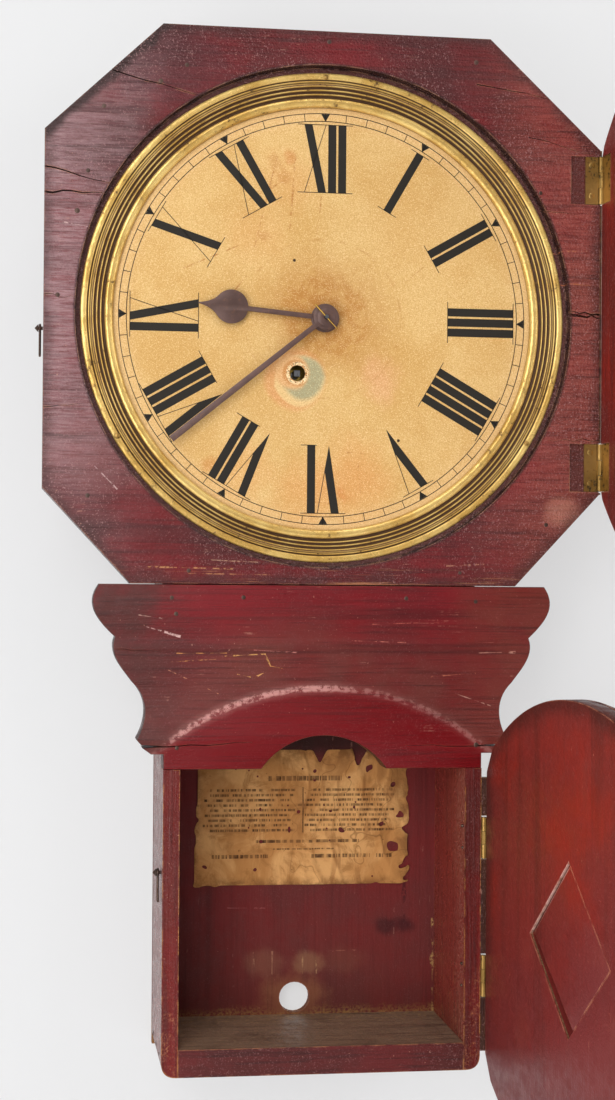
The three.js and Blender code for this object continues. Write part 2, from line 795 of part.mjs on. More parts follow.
// Centre arbor and the wheels that it drives
function buildTrain() {
  const greatY = frontPlateBackY + greatPlane;
  const pinionY = greatY + greatWheelThickness / 2 - pinionLength / 2;
  const cannonY = frontPlateY - motionPlane - wheelThickness;
  const motionRadius = motionDistance * cannonTeeth / (cannonTeeth + minuteWheelTeeth);
  const frontArbor = pipeBore - runGap;
  const arbor = join(
    bar(arborRadius, arborTipY, backPlateY + pivotEnd),
    bar(frontArbor, minuteHandBackY + seatGap, frontPlateY - runGap, 0, 0, smallSegments),
    ...lantern(
      centrePinionTeeth, centrePinionRadius, arborRadius, pinionY, pinionLength, powerMesh.pinionPhase),
    wheel(cannonTeeth, motionRadius, 0, cannonY, wheelThickness, 1 / 2));
  const holeRadius = taperPinRadius + runGap;
  add('centre_arbor', cut(arbor, taperPin(holeRadius, holeRadius)), steel);
  const centreY = frontPlateBackY + centrePlane;
  add('centre_wheel', wheel(
    centreTeeth, centreWheelRadius, arborRadius + seatGap, centreY, wheelThickness,
    centreMesh.wheelPhase), brass);
  addAt('third_wheel', third.x, third.z, thirdWheelGeometry(centreY), brass);
  addAt('escape_wheel', 0, escapeHeight, escapeWheelGeometry(), brass);
}

// Tapered pin through the end of the centre arbor
function taperPin(thick, thin) {
  return new THREE.CylinderGeometry(thick, thin, taperPinLength, tinySegments)
    .rotateZ(degrees(90)).rotateY(degrees(taperPinTilt)).translate(0, dialFrontY - taperPinLift, 0);
}

function addAt(name, x, z, geometry, material) {
  add(name, geometry, material).position.set(x, 0, z);
}

function pivoted(radius) {
  return [
    bar(radius, frontPlateBackY + runGap, postBackY - runGap, 0, 0, tinySegments),
    bar(pivotRadius, frontPlateY, backPlateY, 0, 0, tinySegments),
  ];
}

function thirdWheelGeometry(centreY) {
  const pinionY = centreY + wheelThickness / 2 - pinionLength / 2;
  const wheelY = frontPlateBackY + thirdPlane;
  return join(
    ...pivoted(arborRadius),
    ...lantern(
      thirdPinionTeeth, thirdPinionRadius, arborRadius, pinionY, pinionLength, centreMesh.pinionPhase),
    wheel(thirdTeeth, thirdWheelRadius, 0, wheelY, wheelThickness, thirdMesh.wheelPhase));
}

function escapeWheelShape() {
  const pitch = degrees(360) / escapeTeeth;
  const turn = (radius, angle) => new THREE.Vector2(radius * Math.cos(angle), radius * Math.sin(angle));
  return new THREE.Shape(Array.from({ length: escapeTeeth }, (_, i) => [
    turn(escapeRoot, i * pitch), turn(escapeRadius, (i + 1 / 2) * pitch),
  ]).flat());
}

function escapeWheelGeometry() {
  const pinionY = frontPlateBackY + thirdPlane + wheelThickness / 2 - pinionLength / 2;
  const front = frontPlateBackY + escapePlane;
  return join(
    ...pivoted(arborRadius * escapePinionTeeth / centrePinionTeeth),
    ...lantern(
      escapePinionTeeth, escapePinionRadius, pivotRadius, pinionY, pinionLength, thirdMesh.pinionPhase),
    board(escapeWheelShape(), front, front + wheelThickness));
}

// Motion work between the front plate and the dial, and the hands
function buildMotion() {
  const cannonRadius = motionDistance * cannonTeeth / (cannonTeeth + minuteWheelTeeth);
  const minuteWheelRadius = motionDistance - cannonRadius;
  const minutePinionRadius = motionDistance * minutePinionTeeth / (minutePinionTeeth + hourWheelTeeth);
  const hourRadius = motionDistance - minutePinionRadius;
  const cannonY = frontPlateY - motionPlane - wheelThickness;
  const pinionY = cannonY - motionPinion;
  const pinionLengthY = motionPinion + wheelThickness;
  const bore = arborRadius + runGap;
  const first = meshPhases(minuteWheelTeeth, cannonTeeth, -motionDistance, 0);
  const second = meshPhases(hourWheelTeeth, minutePinionTeeth, motionDistance, 0);
  const idler = join(
    wheel(minuteWheelTeeth, minuteWheelRadius, bore, cannonY, wheelThickness, first.wheelPhase + 1 / 2),
    wheel(minutePinionTeeth, minutePinionRadius, bore, pinionY, pinionLengthY, second.pinionPhase));
  addAt('minute_wheel', motionDistance, 0, idler, brass);
  const pipeStartY = pinionY + wheelThickness / 2;
  const pipeEndY = hourHandBackY - handThickness;
  const pipe = turned([
    [pipeBore, pipeStartY], [pipeRadius, pipeStartY], [pipeRadius, pipeEndY], [pipeBore, pipeEndY],
  ], roundSegments);
  const disc = wheel(
    hourWheelTeeth, hourRadius, pipeBore + seatGap, pinionY, wheelThickness - seatGap, second.wheelPhase);
  add('hour_wheel', join(disc, pipe), brass);
}

// Hands are drawn pointing up and then turned clockwise as seen from the front
function hourHandShape() {
  const shape = new THREE.Shape();
  const half = hourStem / 2;
  const shoulder = Math.asin(half / hourBobRadius);
  const hubAngle = Math.asin(half / hourHub);
  const tipStart = degrees(hourBobShoulder);
  shape.absarc(0, 0, hourHub, degrees(90) + hubAngle, degrees(450) - hubAngle, false);
  shape.lineTo(half, hourBob - hourBobRadius * Math.cos(shoulder));
  shape.absarc(0, hourBob, hourBobRadius, -degrees(90) + shoulder, degrees(90) - tipStart, false);
  const reach = hourBob + hourBobRadius * Math.cos(tipStart);
  const neck = reach + (hourHandLength - reach) * hourNeckShare;
  shape.quadraticCurveTo(half, neck, half / 4, hourHandLength);
  shape.lineTo(-half / 4, hourHandLength);
  shape.quadraticCurveTo(-half, neck, -hourBobRadius * Math.sin(tipStart), reach);
  shape.absarc(0, hourBob, hourBobRadius, degrees(90) + tipStart, degrees(270) - shoulder, false);
  shape.lineTo(-half, Math.cos(hubAngle) * hourHub);
  return shape;
}

function minuteHandShape() {
  const shape = new THREE.Shape();
  const half = minuteRootWidth / 2;
  const hubAngle = Math.asin(half / minuteHub);
  shape.absarc(0, 0, minuteHub, degrees(90) + hubAngle, degrees(450) - hubAngle, false);
  shape.lineTo(minuteEndWidth / 2, minuteHandLength);
  shape.lineTo(-minuteEndWidth / 2, minuteHandLength);
  shape.lineTo(-half, Math.cos(hubAngle) * minuteHub);
  return shape;
}

function buildHands() {
  const hour = hourHandShape();
  hour.holes.push(circlePath(0, 0, pipeRadius + runGap));
  const hourPlate = board(hour, hourHandBackY - handThickness, hourHandBackY, tinySegments);
  add('hour_hand', hourPlate, darkSteel).rotation.y = degrees(hourAngle);
  const minute = minuteHandShape();
  minute.holes.push(circlePath(0, 0, arborRadius + runGap));
  const minutePlate = board(minute, minuteHandBackY - handThickness, minuteHandBackY);
  add('minute_hand', minutePlate, darkSteel).rotation.y = degrees(minuteAngle);
  add('taper_pin', taperPin(taperPinRadius, taperPinRadius * taperPinTipShare), brass);
}

// Verge, crutch, suspension and pendulum
function vergeShape() {
  const foot = vergeSpan - vergeStrip;
  return polygon([
    [-vergeSpan, -vergeDrop], [-foot, -vergeDrop], [0, -vergeStrip], [foot, -vergeDrop],
    [vergeSpan, -vergeDrop], [arborRadius, vergeStrip], [-arborRadius, vergeStrip],
  ]);
}

function buildEscapement() {
  const wheelY = frontPlateBackY + escapePlane + wheelThickness / 2;
  const arborEnd = pendulumY - vergeEndGap - crutchWire;
  const pallets = join(
    bar(arborRadius, frontPlateBackY + runGap, postBackY - runGap, 0, 0, tinySegments),
    bar(pivotRadius, frontPlateY, arborEnd, 0, 0, tinySegments),
    board(vergeShape(), wheelY - vergeWidth / 2, wheelY + vergeWidth / 2));
  addAt('verge', verge.x, verge.z, pallets, steel);
  addAt('crutch', verge.x, verge.z, crutchGeometry(arborEnd), agedBrass);
  const half = suspensionPostHalf;
  const endY = pendulumY + suspensionWidth;
  const slot = block(
    -suspensionSlot, pendulumY - suspensionWidth, -overrun,
    suspensionSlot, endY + overrun, suspensionTop + seatGap);
  const post = block(-half, backPlateY + seatGap, suspensionPostFoot, half, endY, suspensionPostHeight);
  addAt('suspension_post', verge.x, verge.z, cut(post, slot), agedBrass);
}

function crutchGeometry(arborEnd) {
  const collar = pivotRadius + seatGap;
  const edge = collar + forkWall;
  const [wireY, endY] = [arborEnd - crutchWire, arborEnd - seatGap];
  const half = crutchWire / 2;
  const ring = turned([[collar, wireY], [edge, wireY], [edge, endY], [collar, endY]], smallSegments);
  const wire = block(-half, wireY, -crutchLength, half, endY, -collar - forkWall / 2);
  const inner = rodRadius + forkGap;
  const outer = inner + forkWall;
  const [foot, top] = [-crutchLength, crutchWire - crutchLength];
  const fork = [[-outer, -inner], [inner, outer]]
    .map(([left, right]) => block(left, wireY, foot, right, pendulumY + outer, top));
  return join(ring, wire, block(-outer, wireY, foot, outer, endY, top), ...fork);
}

// Half profile of the bob, as shares of its radius and of its half thickness
const bobShares = [[0.85, 0.42], [0.5, 0.82], [0, 1]];

function bobGeometry() {
  const half = bobThickness / 2;
  const back = [[bobRadius, bobEdge / 2], ...bobShares.map(([u, v]) => [u * bobRadius, v * half])];
  const front = back.map(([radius, y]) => [radius, -y]).reverse();
  const bore = upright(-bobRadius - overrun, bobRadius + overrun, rodRadius + runGap, tinySegments);
  return cut(turned([...front, ...back]), bore).translate(0, 0, -pendulumLength);
}

function buildPendulum() {
  const pendulum = new THREE.Group();
  pendulum.position.set(verge.x, pendulumY, verge.z);
  clock.add(pendulum);
  const springEnd = suspensionTop - suspensionLength;
  const nutTop = -pendulumLength - bobRadius - seatGap;
  const rod = upright(nutTop - nutHeight - rodEnd, springEnd + joinLength, rodRadius, tinySegments);
  const [halfStrip, halfWidth] = [suspensionStrip / 2, suspensionWidth / 2];
  const strip = block(-halfStrip, -halfWidth, springEnd, halfStrip, halfWidth, suspensionTop);
  add('pendulum_rod', join(rod, strip), steel, pendulum);
  add('pendulum_bob', bobGeometry(), brass, pendulum);
  const nut = turned([
    [rodRadius + runGap, -nutHeight], [nutRadius, -nutHeight], [nutRadius, 0], [rodRadius + runGap, 0],
  ], smallSegments).rotateX(degrees(90)).translate(0, 0, nutTop);
  add('rating_nut', nut, agedBrass, pendulum);
}

// A door is drawn closed, about its hinge axis, and its group is then swung open
function doorGroup(axis) {
  const group = new THREE.Group();
  group.position.set(axis.x, axis.y, 0);
  group.rotation.z = degrees(doorOpening);
  clock.add(group);
  return group;
}

// Round outline cut off by the hinge side, with short slopes at its corners
function doorOutline(centreX, centreZ, radius, edgeX, cornerShare) {
  const reach = edgeX - centreX;
  const chord = Math.sqrt(radius ** 2 - reach ** 2);
  const half = chord * cornerShare;
  const start = Math.asin(chord * (2 - cornerShare) / radius);
  const points = Array.from({ length: fineSegments + 1 }, (_, i) => {
    const angle = start + (degrees(360) - 2 * start) * i / fineSegments;
    return [centreX + radius * Math.cos(angle), centreZ + radius * Math.sin(angle)];
  });
  return [...points, [edgeX, centreZ - half], [edgeX, centreZ + half]];
}

// Beads of the doors, as shares of their width and of their rise over the band
const rimShares = [[0, -0.5], [0.25, 0.85], [0.6, 1], [1, 0]];
const sightShares = [[1, 0], [0.6, 0.9], [0.2, 0.3], [0, -0.9]];
const doorRise = doorThickness - doorBand;

function rimPoints(radius, face) {
  return rimShares.map(([u, v]) => [radius - u * rimBead, face(doorBand + v * doorRise)]);
}

function buildUpperDoor() {
  const group = doorGroup(upperAxis);
  const centre = upperDoorX - upperAxis.x;
  const backFace = -doorGap / 2;
  const face = (depth) => backFace - depth;
  const outline = polygon(doorOutline(centre, 0, upperDoorRadius, -doorEdgeClearance, upperCornerShare));
  const moulding = [
    [upperDoorRadius, face(0)], ...rimPoints(upperDoorRadius, face),
    ...sightShares.map(([u, v]) => [sightRadius + u * sightBead, face(doorBand + v * doorRise)]),
    [sightRadius, face(rabbetDepth)], [rabbetRadius, face(rabbetDepth)], [rabbetRadius, face(0)],
  ];
  const ring = turned(moulding, fineSegments).translate(centre, 0, 0);
  const trimmed = solid(ring).intersect(solid(board(outline, face(doorThickness + overrun), overrun)));
  const cuts = Object.values(upperHinges).map((z) => doorMortise(z, backFace));
  add('upper_door_frame', cut(geometryOf(trimmed), ...cuts), redPaint, group);
  const glassFront = rabbetDepth - turnGap;
  const glassBack = glassFront - glassThickness;
  const pane = bar(rabbetRadius - turnGap, face(glassFront), face(glassBack), centre, 0, fineSegments);
  add('upper_door_glass', pane, glassFinish, group);
  return group;
}

// Room in a door's back for a leaf and for the knuckle
function doorMortise(z, backFace) {
  const low = z - upperHingeHeight / 2 - turnGap;
  const high = z + upperHingeHeight / 2 + turnGap;
  const deep = knuckleRadius + turnGap;
  const leaf = block(-leafWidth - turnGap, backFace - leafThickness - turnGap, low, overrun, overrun, high);
  const knuckle = block(-deep, backFace - deep, low, overrun, overrun, high);
  return join(leaf, knuckle);
}

function diamondShape(centreX, grow) {
  const [w, h] = [diamondHalfWidth + grow, diamondHalfHeight + grow];
  const z = lowerDoorZ;
  return polygon([[centreX - w, z], [centreX, z - h], [centreX + w, z], [centreX, z + h]]);
}

function buildLowerDoor() {
  const group = doorGroup(lowerAxis);
  const centre = lowerDoorX - lowerAxis.x;
  const edge = boxHalfWidth - lowerAxis.x;
  const backFace = -doorGap / 2;
  const face = (depth) => backFace - depth;
  const outline = doorOutline(centre, lowerDoorZ, lowerDoorRadius, edge, lowerCornerShare);
  const plank = board(polygon(outline), face(lowerBoard), backFace);
  const recess = board(diamondShape(centre, 0), face(diamondStep), overrun);
  const hole = board(diamondShape(centre, -diamondStep), face(lowerBoard + overrun), overrun);
  add('lower_door_board', cut(plank, recess, hole), redPaint, group);
  const insert = board(diamondShape(centre, -turnGap), face(diamondStep - turnGap), backFace - turnGap);
  add('lower_door_diamond', insert, redPaint, group);
  const front = lowerBoard + turnGap;
  const inner = lowerDoorRadius - rimWidth;
  const moulding = [
    [lowerDoorRadius, face(front)], ...rimPoints(lowerDoorRadius, face),
    [inner, face(front + doorRise / 2)], [inner, face(front)],
  ];
  const ring = turned(moulding, fineSegments).translate(centre, 0, lowerDoorZ);
  const blank = board(polygon(outline), face(doorThickness + overrun), overrun);
  add('lower_door_moulding', common(ring, blank), redPaint, group);
  return group;
}

// Butt hinge: the case leaf carries the middle knuckle and the pin, the door leaf the two outer ones
function buildHinge(name, axis, z, height, leafBlocks, group) {
  const [low, high] = [z - height / 2, z + height / 2];
  const part = height / 3;
  const pin = upright(low, high, hingePin);
  const middle = [low + part + turnGap, high - part - turnGap];
  const caseLeaf = leafBlocks.caseLeaf(low, high);
  const doorLeaf = leafBlocks.doorLeaf(low, high);
  const clear = knuckleRadius + turnGap;
  const room = [
    upright(low - overrun, middle[0], clear), upright(middle[1], high + overrun, clear),
  ];
  const fixed = geometryOf(
    solid(cut(caseLeaf, ...room)).add(solid(upright(...middle, knuckleRadius))).add(solid(pin)));
  const caseGroup = new THREE.Group();
  caseGroup.position.set(axis.x, axis.y, 0);
  clock.add(caseGroup);
  add(name + '_case_leaf', fixed, agedBrass, caseGroup);
  const outer = [upright(low, low + part, knuckleRadius), upright(high - part, high, knuckleRadius)];
  const body = join(cut(doorLeaf, upright(low + part, high - part, clear)), ...outer);
  const bore = upright(low - overrun, high + overrun, hingePin + turnGap);
  add(name + '_door_leaf', cut(body, bore), agedBrass, group);
}

function buildHinges(upperGroup, lowerGroup) {
  const half = doorGap / 2;
  const upperLeaves = {
    caseLeaf: (low, high) => block(-leafWidth, half, low, 0, half + leafThickness, high),
    doorLeaf: (low, high) => block(-leafWidth, -half - leafThickness, low, 0, -half - seatGap, high),
  };
  for (const [name, z] of Object.entries(upperHinges)) {
    buildHinge(name, upperAxis, z, upperHingeHeight, upperLeaves, upperGroup);
  }
  const inner = boxHalfWidth - lowerAxis.x + seatGap;
  const away = inner + turnGap;
  const lowerLeaves = {
    caseLeaf: (low, high) => block(inner, 0, low, inner + leafThickness, leafWidth, high),
    doorLeaf: (low, high) => block(away, -leafWidth, low, away + leafThickness, 0, high),
  };
  for (const [name, z] of Object.entries(lowerHinges)) {
    buildHinge(name, lowerAxis, z, lowerHingeHeight, lowerLeaves, lowerGroup);
  }
}

// Wire hook that hangs on a screw in the left side, with its tip bent forward
// Its line, as shares of the eye's radius forward and of its length down
const hookShares = [[0, 0.4], [0, 0.8], [0.5, 1], [1.8, 1]];

function hookGeometry() {
  const ring = new THREE.TorusGeometry(hookEye, hookWire, tinySegments, smallSegments).rotateY(degrees(90));
  const path = new THREE.CatmullRomCurve3([
    new THREE.Vector3(0, 0, -hookEye),
    ...hookShares.map(([u, v]) => new THREE.Vector3(0, -u * hookEye, -v * hookLength)),
  ]);
  const wire = new THREE.Shape().absarc(0, 0, hookWire, 0, degrees(360), false);
  const shank = new THREE.ExtrudeGeometry(wire, {
    steps: tinySegments, bevelEnabled: false, extrudePath: path, curveSegments: tinySegments / 2,
  });
  return join(ring, shank);
}

function buildHook(name, wallX, z) {
  const y = frontY + hookSetback;
  const x = wallX - hookStandoff;
  const hook = add(name, hookGeometry(), agedBrass);
  hook.position.set(x, y, z);
  const inner = hookEye - hookWire - runGap;
  const head = hookEye + hookWire / 2;
  const outX = -hookWire - runGap;
  const wallEnd = hookStandoff - seatGap;
  const screw = turned([
    [0, -wallEnd], [inner, -wallEnd], [inner, -outX], [head, -outX], [head * 0.8, hookWire - outX],
    [0, head - outX],
  ], smallSegments).rotateZ(degrees(90));
  add(name + '_screw', screw, steel).position.set(x, y, z);
}

buildOctagon();
buildApron();
buildHead();
buildBox();
buildLabel();
buildHeadBack();
buildDial();
buildPlates();
buildPower();
buildTrain();
buildMotion();
buildHands();
buildEscapement();
buildPendulum();
buildHinges(buildUpperDoor(), buildLowerDoor());
buildHook('upper_hook', -octagonHalfWidth, upperHookZ);
buildHook('lower_hook', -boxHalfWidth, lowerHookZ);

export default clock;
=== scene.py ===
"""Dresses the octagon drop wall clock for rendering, in metres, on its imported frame."""
from __future__ import annotations

import logging
import math
import random
from dataclasses import dataclass
from enum import Enum
from typing import Callable, Iterable, Sequence

import bmesh
import bpy
from mathutils import Matrix, Vector, noise

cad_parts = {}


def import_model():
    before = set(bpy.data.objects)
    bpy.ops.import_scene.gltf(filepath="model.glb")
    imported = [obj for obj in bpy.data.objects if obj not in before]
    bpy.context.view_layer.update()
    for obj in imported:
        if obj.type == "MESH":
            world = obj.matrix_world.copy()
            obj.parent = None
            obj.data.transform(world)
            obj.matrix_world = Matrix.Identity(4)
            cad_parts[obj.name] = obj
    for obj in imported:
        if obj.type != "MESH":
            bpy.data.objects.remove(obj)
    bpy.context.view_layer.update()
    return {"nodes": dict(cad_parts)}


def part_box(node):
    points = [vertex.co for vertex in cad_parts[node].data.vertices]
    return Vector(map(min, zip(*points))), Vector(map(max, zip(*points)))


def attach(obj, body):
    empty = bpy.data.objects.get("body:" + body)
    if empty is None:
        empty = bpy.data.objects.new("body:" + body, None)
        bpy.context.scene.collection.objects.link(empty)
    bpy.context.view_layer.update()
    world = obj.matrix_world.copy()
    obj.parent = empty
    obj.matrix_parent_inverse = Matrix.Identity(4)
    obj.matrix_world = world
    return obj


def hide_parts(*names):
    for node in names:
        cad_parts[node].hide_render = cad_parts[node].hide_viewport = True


LOG = logging.getLogger("clock")
MM = 0.001
# Height of nail heads that a closed door clears
FLAT_HEAD = 0.00025
Point = tuple[float, float]
Outline = list[Point]
Colour = tuple[float, float, float, float]


def paint(code: str) -> Colour:
    """Turns a screen colour into a linear one.

    Args:
        code: six hexadecimal digits, red first.

    Returns:
        The linear colour with full alpha.
    """
    parts = [int(code[i:i + 2], 16) / 255 for i in (0, 2, 4)]
    linear = [c / 12.92 if c <= 0.04045 else ((c + 0.055) / 1.055) ** 2.4 for c in parts]
    return (linear[0], linear[1], linear[2], 1.0)


class Grain(Enum):
    """Direction of the wood's fibres, as the scale of its pattern along X, Y and Z."""

    ALONG_X = (9.0, 300.0, 300.0)
    ALONG_Y = (300.0, 9.0, 300.0)
    ALONG_Z = (300.0, 300.0, 9.0)


def operator(action: str, swapped: bool = False) -> Callable:
    """Gives a value's operator, which adds a math node.

    Args:
        action: the node's operation.
        swapped: whether the other operand stands on the left.

    Returns:
        The operator's method.
    """
    def apply(value: Value, other: object = 0.0) -> Value:
        """Adds the node for two operands."""
        return value.shader.math(action, *((other, value) if swapped else (value, other)))
    return apply


class Value:
    """A node's output, which sums, products and comparisons turn into math nodes."""

    __add__, __radd__ = operator("ADD"), operator("ADD", True)
    __sub__, __rsub__ = operator("SUBTRACT"), operator("SUBTRACT", True)
    __mul__, __rmul__ = operator("MULTIPLY"), operator("MULTIPLY", True)
    __truediv__ = operator("DIVIDE")
    __lt__, __gt__ = operator("LESS_THAN"), operator("GREATER_THAN")
    __abs__ = operator("ABSOLUTE")

    def __init__(self, shader: Shader, socket: bpy.types.NodeSocket) -> None:
        """Keeps the socket and the shader that it belongs to."""
        self.shader, self.socket = shader, socket


class NodeMaker:
    """A node tree, with short calls that add nodes to it."""

    def __init__(self, tree: bpy.types.NodeTree) -> None:
        """Keeps the tree."""
        self.tree = tree

    def node(self, kind: str, inputs: dict | None = None, **settings: object) -> bpy.types.Node:
        """Adds a node and sets its inputs, which are values or other nodes' sockets.

        Args:
            kind: the node's type name.
            inputs: values or sockets by input name or number.
            settings: the node's own properties.

        Returns:
            The node.
        """
        made = self.tree.nodes.new(kind)
        for key, value in settings.items():
            setattr(made, key, value)
        for key, value in (inputs or {}).items():
            value = value.socket if isinstance(value, Value) else value
            if isinstance(value, bpy.types.NodeSocket):
                self.tree.links.new(value, made.inputs[key])
            else:
                made.inputs[key].default_value = value
        return made

    def out(self, kind: str, inputs: dict | None = None, **settings: object) -> bpy.types.NodeSocket:
        """Adds a node and gives its first output."""
        return self.node(kind, inputs, **settings).outputs[0]


class Shader(NodeMaker):
    """A node material, with short calls for the nodes that finishes use."""

    def __init__(self, name: str) -> None:
        """Makes an empty node material.

        Args:
            name: the material's name.
        """
        self.material = bpy.data.materials.new(name)
        self.material.use_nodes = True
        super().__init__(self.material.node_tree)
        self.tree.nodes.clear()
        self.output = self.tree.nodes.new("ShaderNodeOutputMaterial")
        self.place = self.value("ShaderNodeTexCoord", key="Object")
        self.colour: Value | None = None

    def value(self, kind: str, inputs: dict | None = None, key: int | str = 0, **settings: object) -> Value:
        """Adds a node and gives one of its outputs as a value."""
        return Value(self, self.node(kind, inputs, **settings).outputs[key])

    def stretched(self, scale: Sequence[float]) -> Value:
        """Gives the object's coordinates scaled."""
        return self.value("ShaderNodeMapping", {"Vector": self.place, "Scale": scale})

    def noise(self, scale: float, detail: float = 4.0, rough: float = 0.55, vector: Value | None = None,
            twist: float = 0.0) -> Value:
        """Gives a noise value; scale is about one over the size of its spots in metres."""
        return self.value("ShaderNodeTexNoise", {
            "Vector": vector or self.place, "Scale": scale, "Detail": detail, "Roughness": rough,
            "Distortion": twist}, "Fac")

    def ramp(self, value: object, low: float, high: float, bottom: float = 0.0, top: float = 1.0) -> Value:
        """Maps a value smoothly from low and high to bottom and top."""
        return self.value("ShaderNodeMapRange", {
            "Value": value, "From Min": low, "From Max": high, "To Min": bottom, "To Max": top,
        }, interpolation_type="SMOOTHSTEP")

    def math(self, action: str, first: object, second: object = 0.0) -> Value:
        """Joins two values by a sum or comparison."""
        return self.value("ShaderNodeMath", {0: first, 1: second}, operation=action)

    def most(self, first: object, second: object) -> Value:
        """Gives the greater of two values."""
        return self.math("MAXIMUM", first, second)

    def least(self, first: object, second: object) -> Value:
        """Gives the smaller of two values."""
        return self.math("MINIMUM", first, second)

    def mix(self, share: object, first: object, second: object) -> Value:
        """Mixes two colours, each a value or six hexadecimal digits, by a share."""
        first, second = (paint(tint) if isinstance(tint, str) else tint for tint in (first, second))
        return self.value("ShaderNodeMix", {0: share, 6: first, 7: second}, 2, data_type="RGBA")

    def lay(self, share: object, tint: object) -> None:
        """Lays a colour over the shader's colour, by a share."""
        self.colour = self.mix(share, self.colour, tint)

    def axes(self, vector: Value | None = None) -> tuple[Value, ...]:
        """Splits coordinates into X, Y and Z."""
        made = self.node("ShaderNodeSeparateXYZ", {0: vector or self.place})
        return tuple(Value(self, output) for output in made.outputs)

    def distance(self, x: float, z: float, stretch: float = 1.0) -> Value:
        """Gives the distance in X and Z from a point, with X divided by a stretch."""
        px, _, pz = self.axes()
        dx, dz = (px - x) * (1.0 / stretch), pz - z
        return self.math("SQRT", dx * dx + dz * dz)

    def uneven(self, scale: float, detail: float, rough: float, amount: float) -> Value:
        """Gives noise about zero, as large as an amount."""
        return (self.noise(scale, detail, rough) - 0.5) * amount

    def patch(self, x: float, z: float, radius: float, ragged: float, stretch: float = 1.0,
            soft: float = 0.3) -> Value:
        """Gives a ragged round spot: one inside, nothing outside."""
        edge = self.uneven(55.0, 6.0, 0.65, ragged)
        reach = self.distance(x, z, stretch) + edge
        return self.ramp(reach, radius * (1 - soft), radius * (1 + soft), 1.0, 0.0)

    def segment(self, start: Point, end: Point, width: float) -> Value:
        """Gives a thin line between two points in X and Z, broken up by noise."""
        px, _, pz = self.axes()
        (ax, az), (bx, bz) = start, end
        length = math.hypot(bx - ax, bz - az)
        ux, uz = (bx - ax) / length, (bz - az) / length
        dx, dz = px - ax, pz - az
        along = dx * ux + dz * uz
        off = abs(dz * ux - dx * uz)
        past = self.most(along * -1.0, along - length)
        off = off + self.uneven(120.0, 3.0, 0.55, width * 5)
        near = self.ramp(self.most(off, past), width * 0.2, width, 1.0, 0.0)
        return near * self.ramp(self.noise(240.0, 3.0), 0.42, 0.56, 0.0, 0.75)

    def arc(self, x: float, z: float, radius: float, width: float, ragged: float) -> Value:
        """Gives a ragged band along a circle in X and Z."""
        reach = self.distance(x, z) + self.uneven(90.0, 5.0, 0.65, ragged)
        return self.ramp(abs(reach - radius), width * 0.3, width, 1.0, 0.0)

    def facing(self) -> tuple[Value, ...]:
        """Gives the surface's direction in the object's own axes."""
        return self.axes(self.value("ShaderNodeTexCoord", key="Normal"))

    def edges(self, radius: float = 0.0016) -> Value:
        """Gives a mask of the sharp edges, from how far a rounded normal turns away."""
        bevel = self.out("ShaderNodeBevel", {"Radius": radius}, samples=4)
        plain = self.value("ShaderNodeNewGeometry", key="Normal")
        turn = self.value("ShaderNodeVectorMath", {0: bevel, 1: plain}, "Value", operation="DOT_PRODUCT")
        return self.ramp(turn, 0.995, 0.86)

    def bumps(self, *layers: tuple) -> bpy.types.NodeSocket:
        """Stacks bump layers of height, strength and depth in metres."""
        inputs: dict = {}
        for height, strength, depth in layers:
            inputs.update({"Height": height, "Strength": strength, "Distance": depth})
            inputs["Normal"] = self.out("ShaderNodeBump", inputs)
        return inputs["Normal"]

    def surface(
        self, rough: object, metal: float = 0.0, normal: bpy.types.NodeSocket | None = None, **fixed: float,
    ) -> bpy.types.Material:
        """Ends the material in one surface shader of the laid colour.

        Args:
            rough: roughness or its socket.
            metal: how metallic it is.
            normal: socket of the bumped normal.
            fixed: constant values by socket name, with underscores for spaces.

        Returns:
            The finished material.
        """
        inputs = {"Base Color": self.colour, "Roughness": rough, "Metallic": metal}
        inputs.update({key.replace("_", " "): value for key, value in fixed.items()})
        if normal is not None:
            inputs["Normal"] = normal
        self.tree.links.new(self.out("ShaderNodeBsdfPrincipled", inputs), self.output.inputs[0])
        return self.material


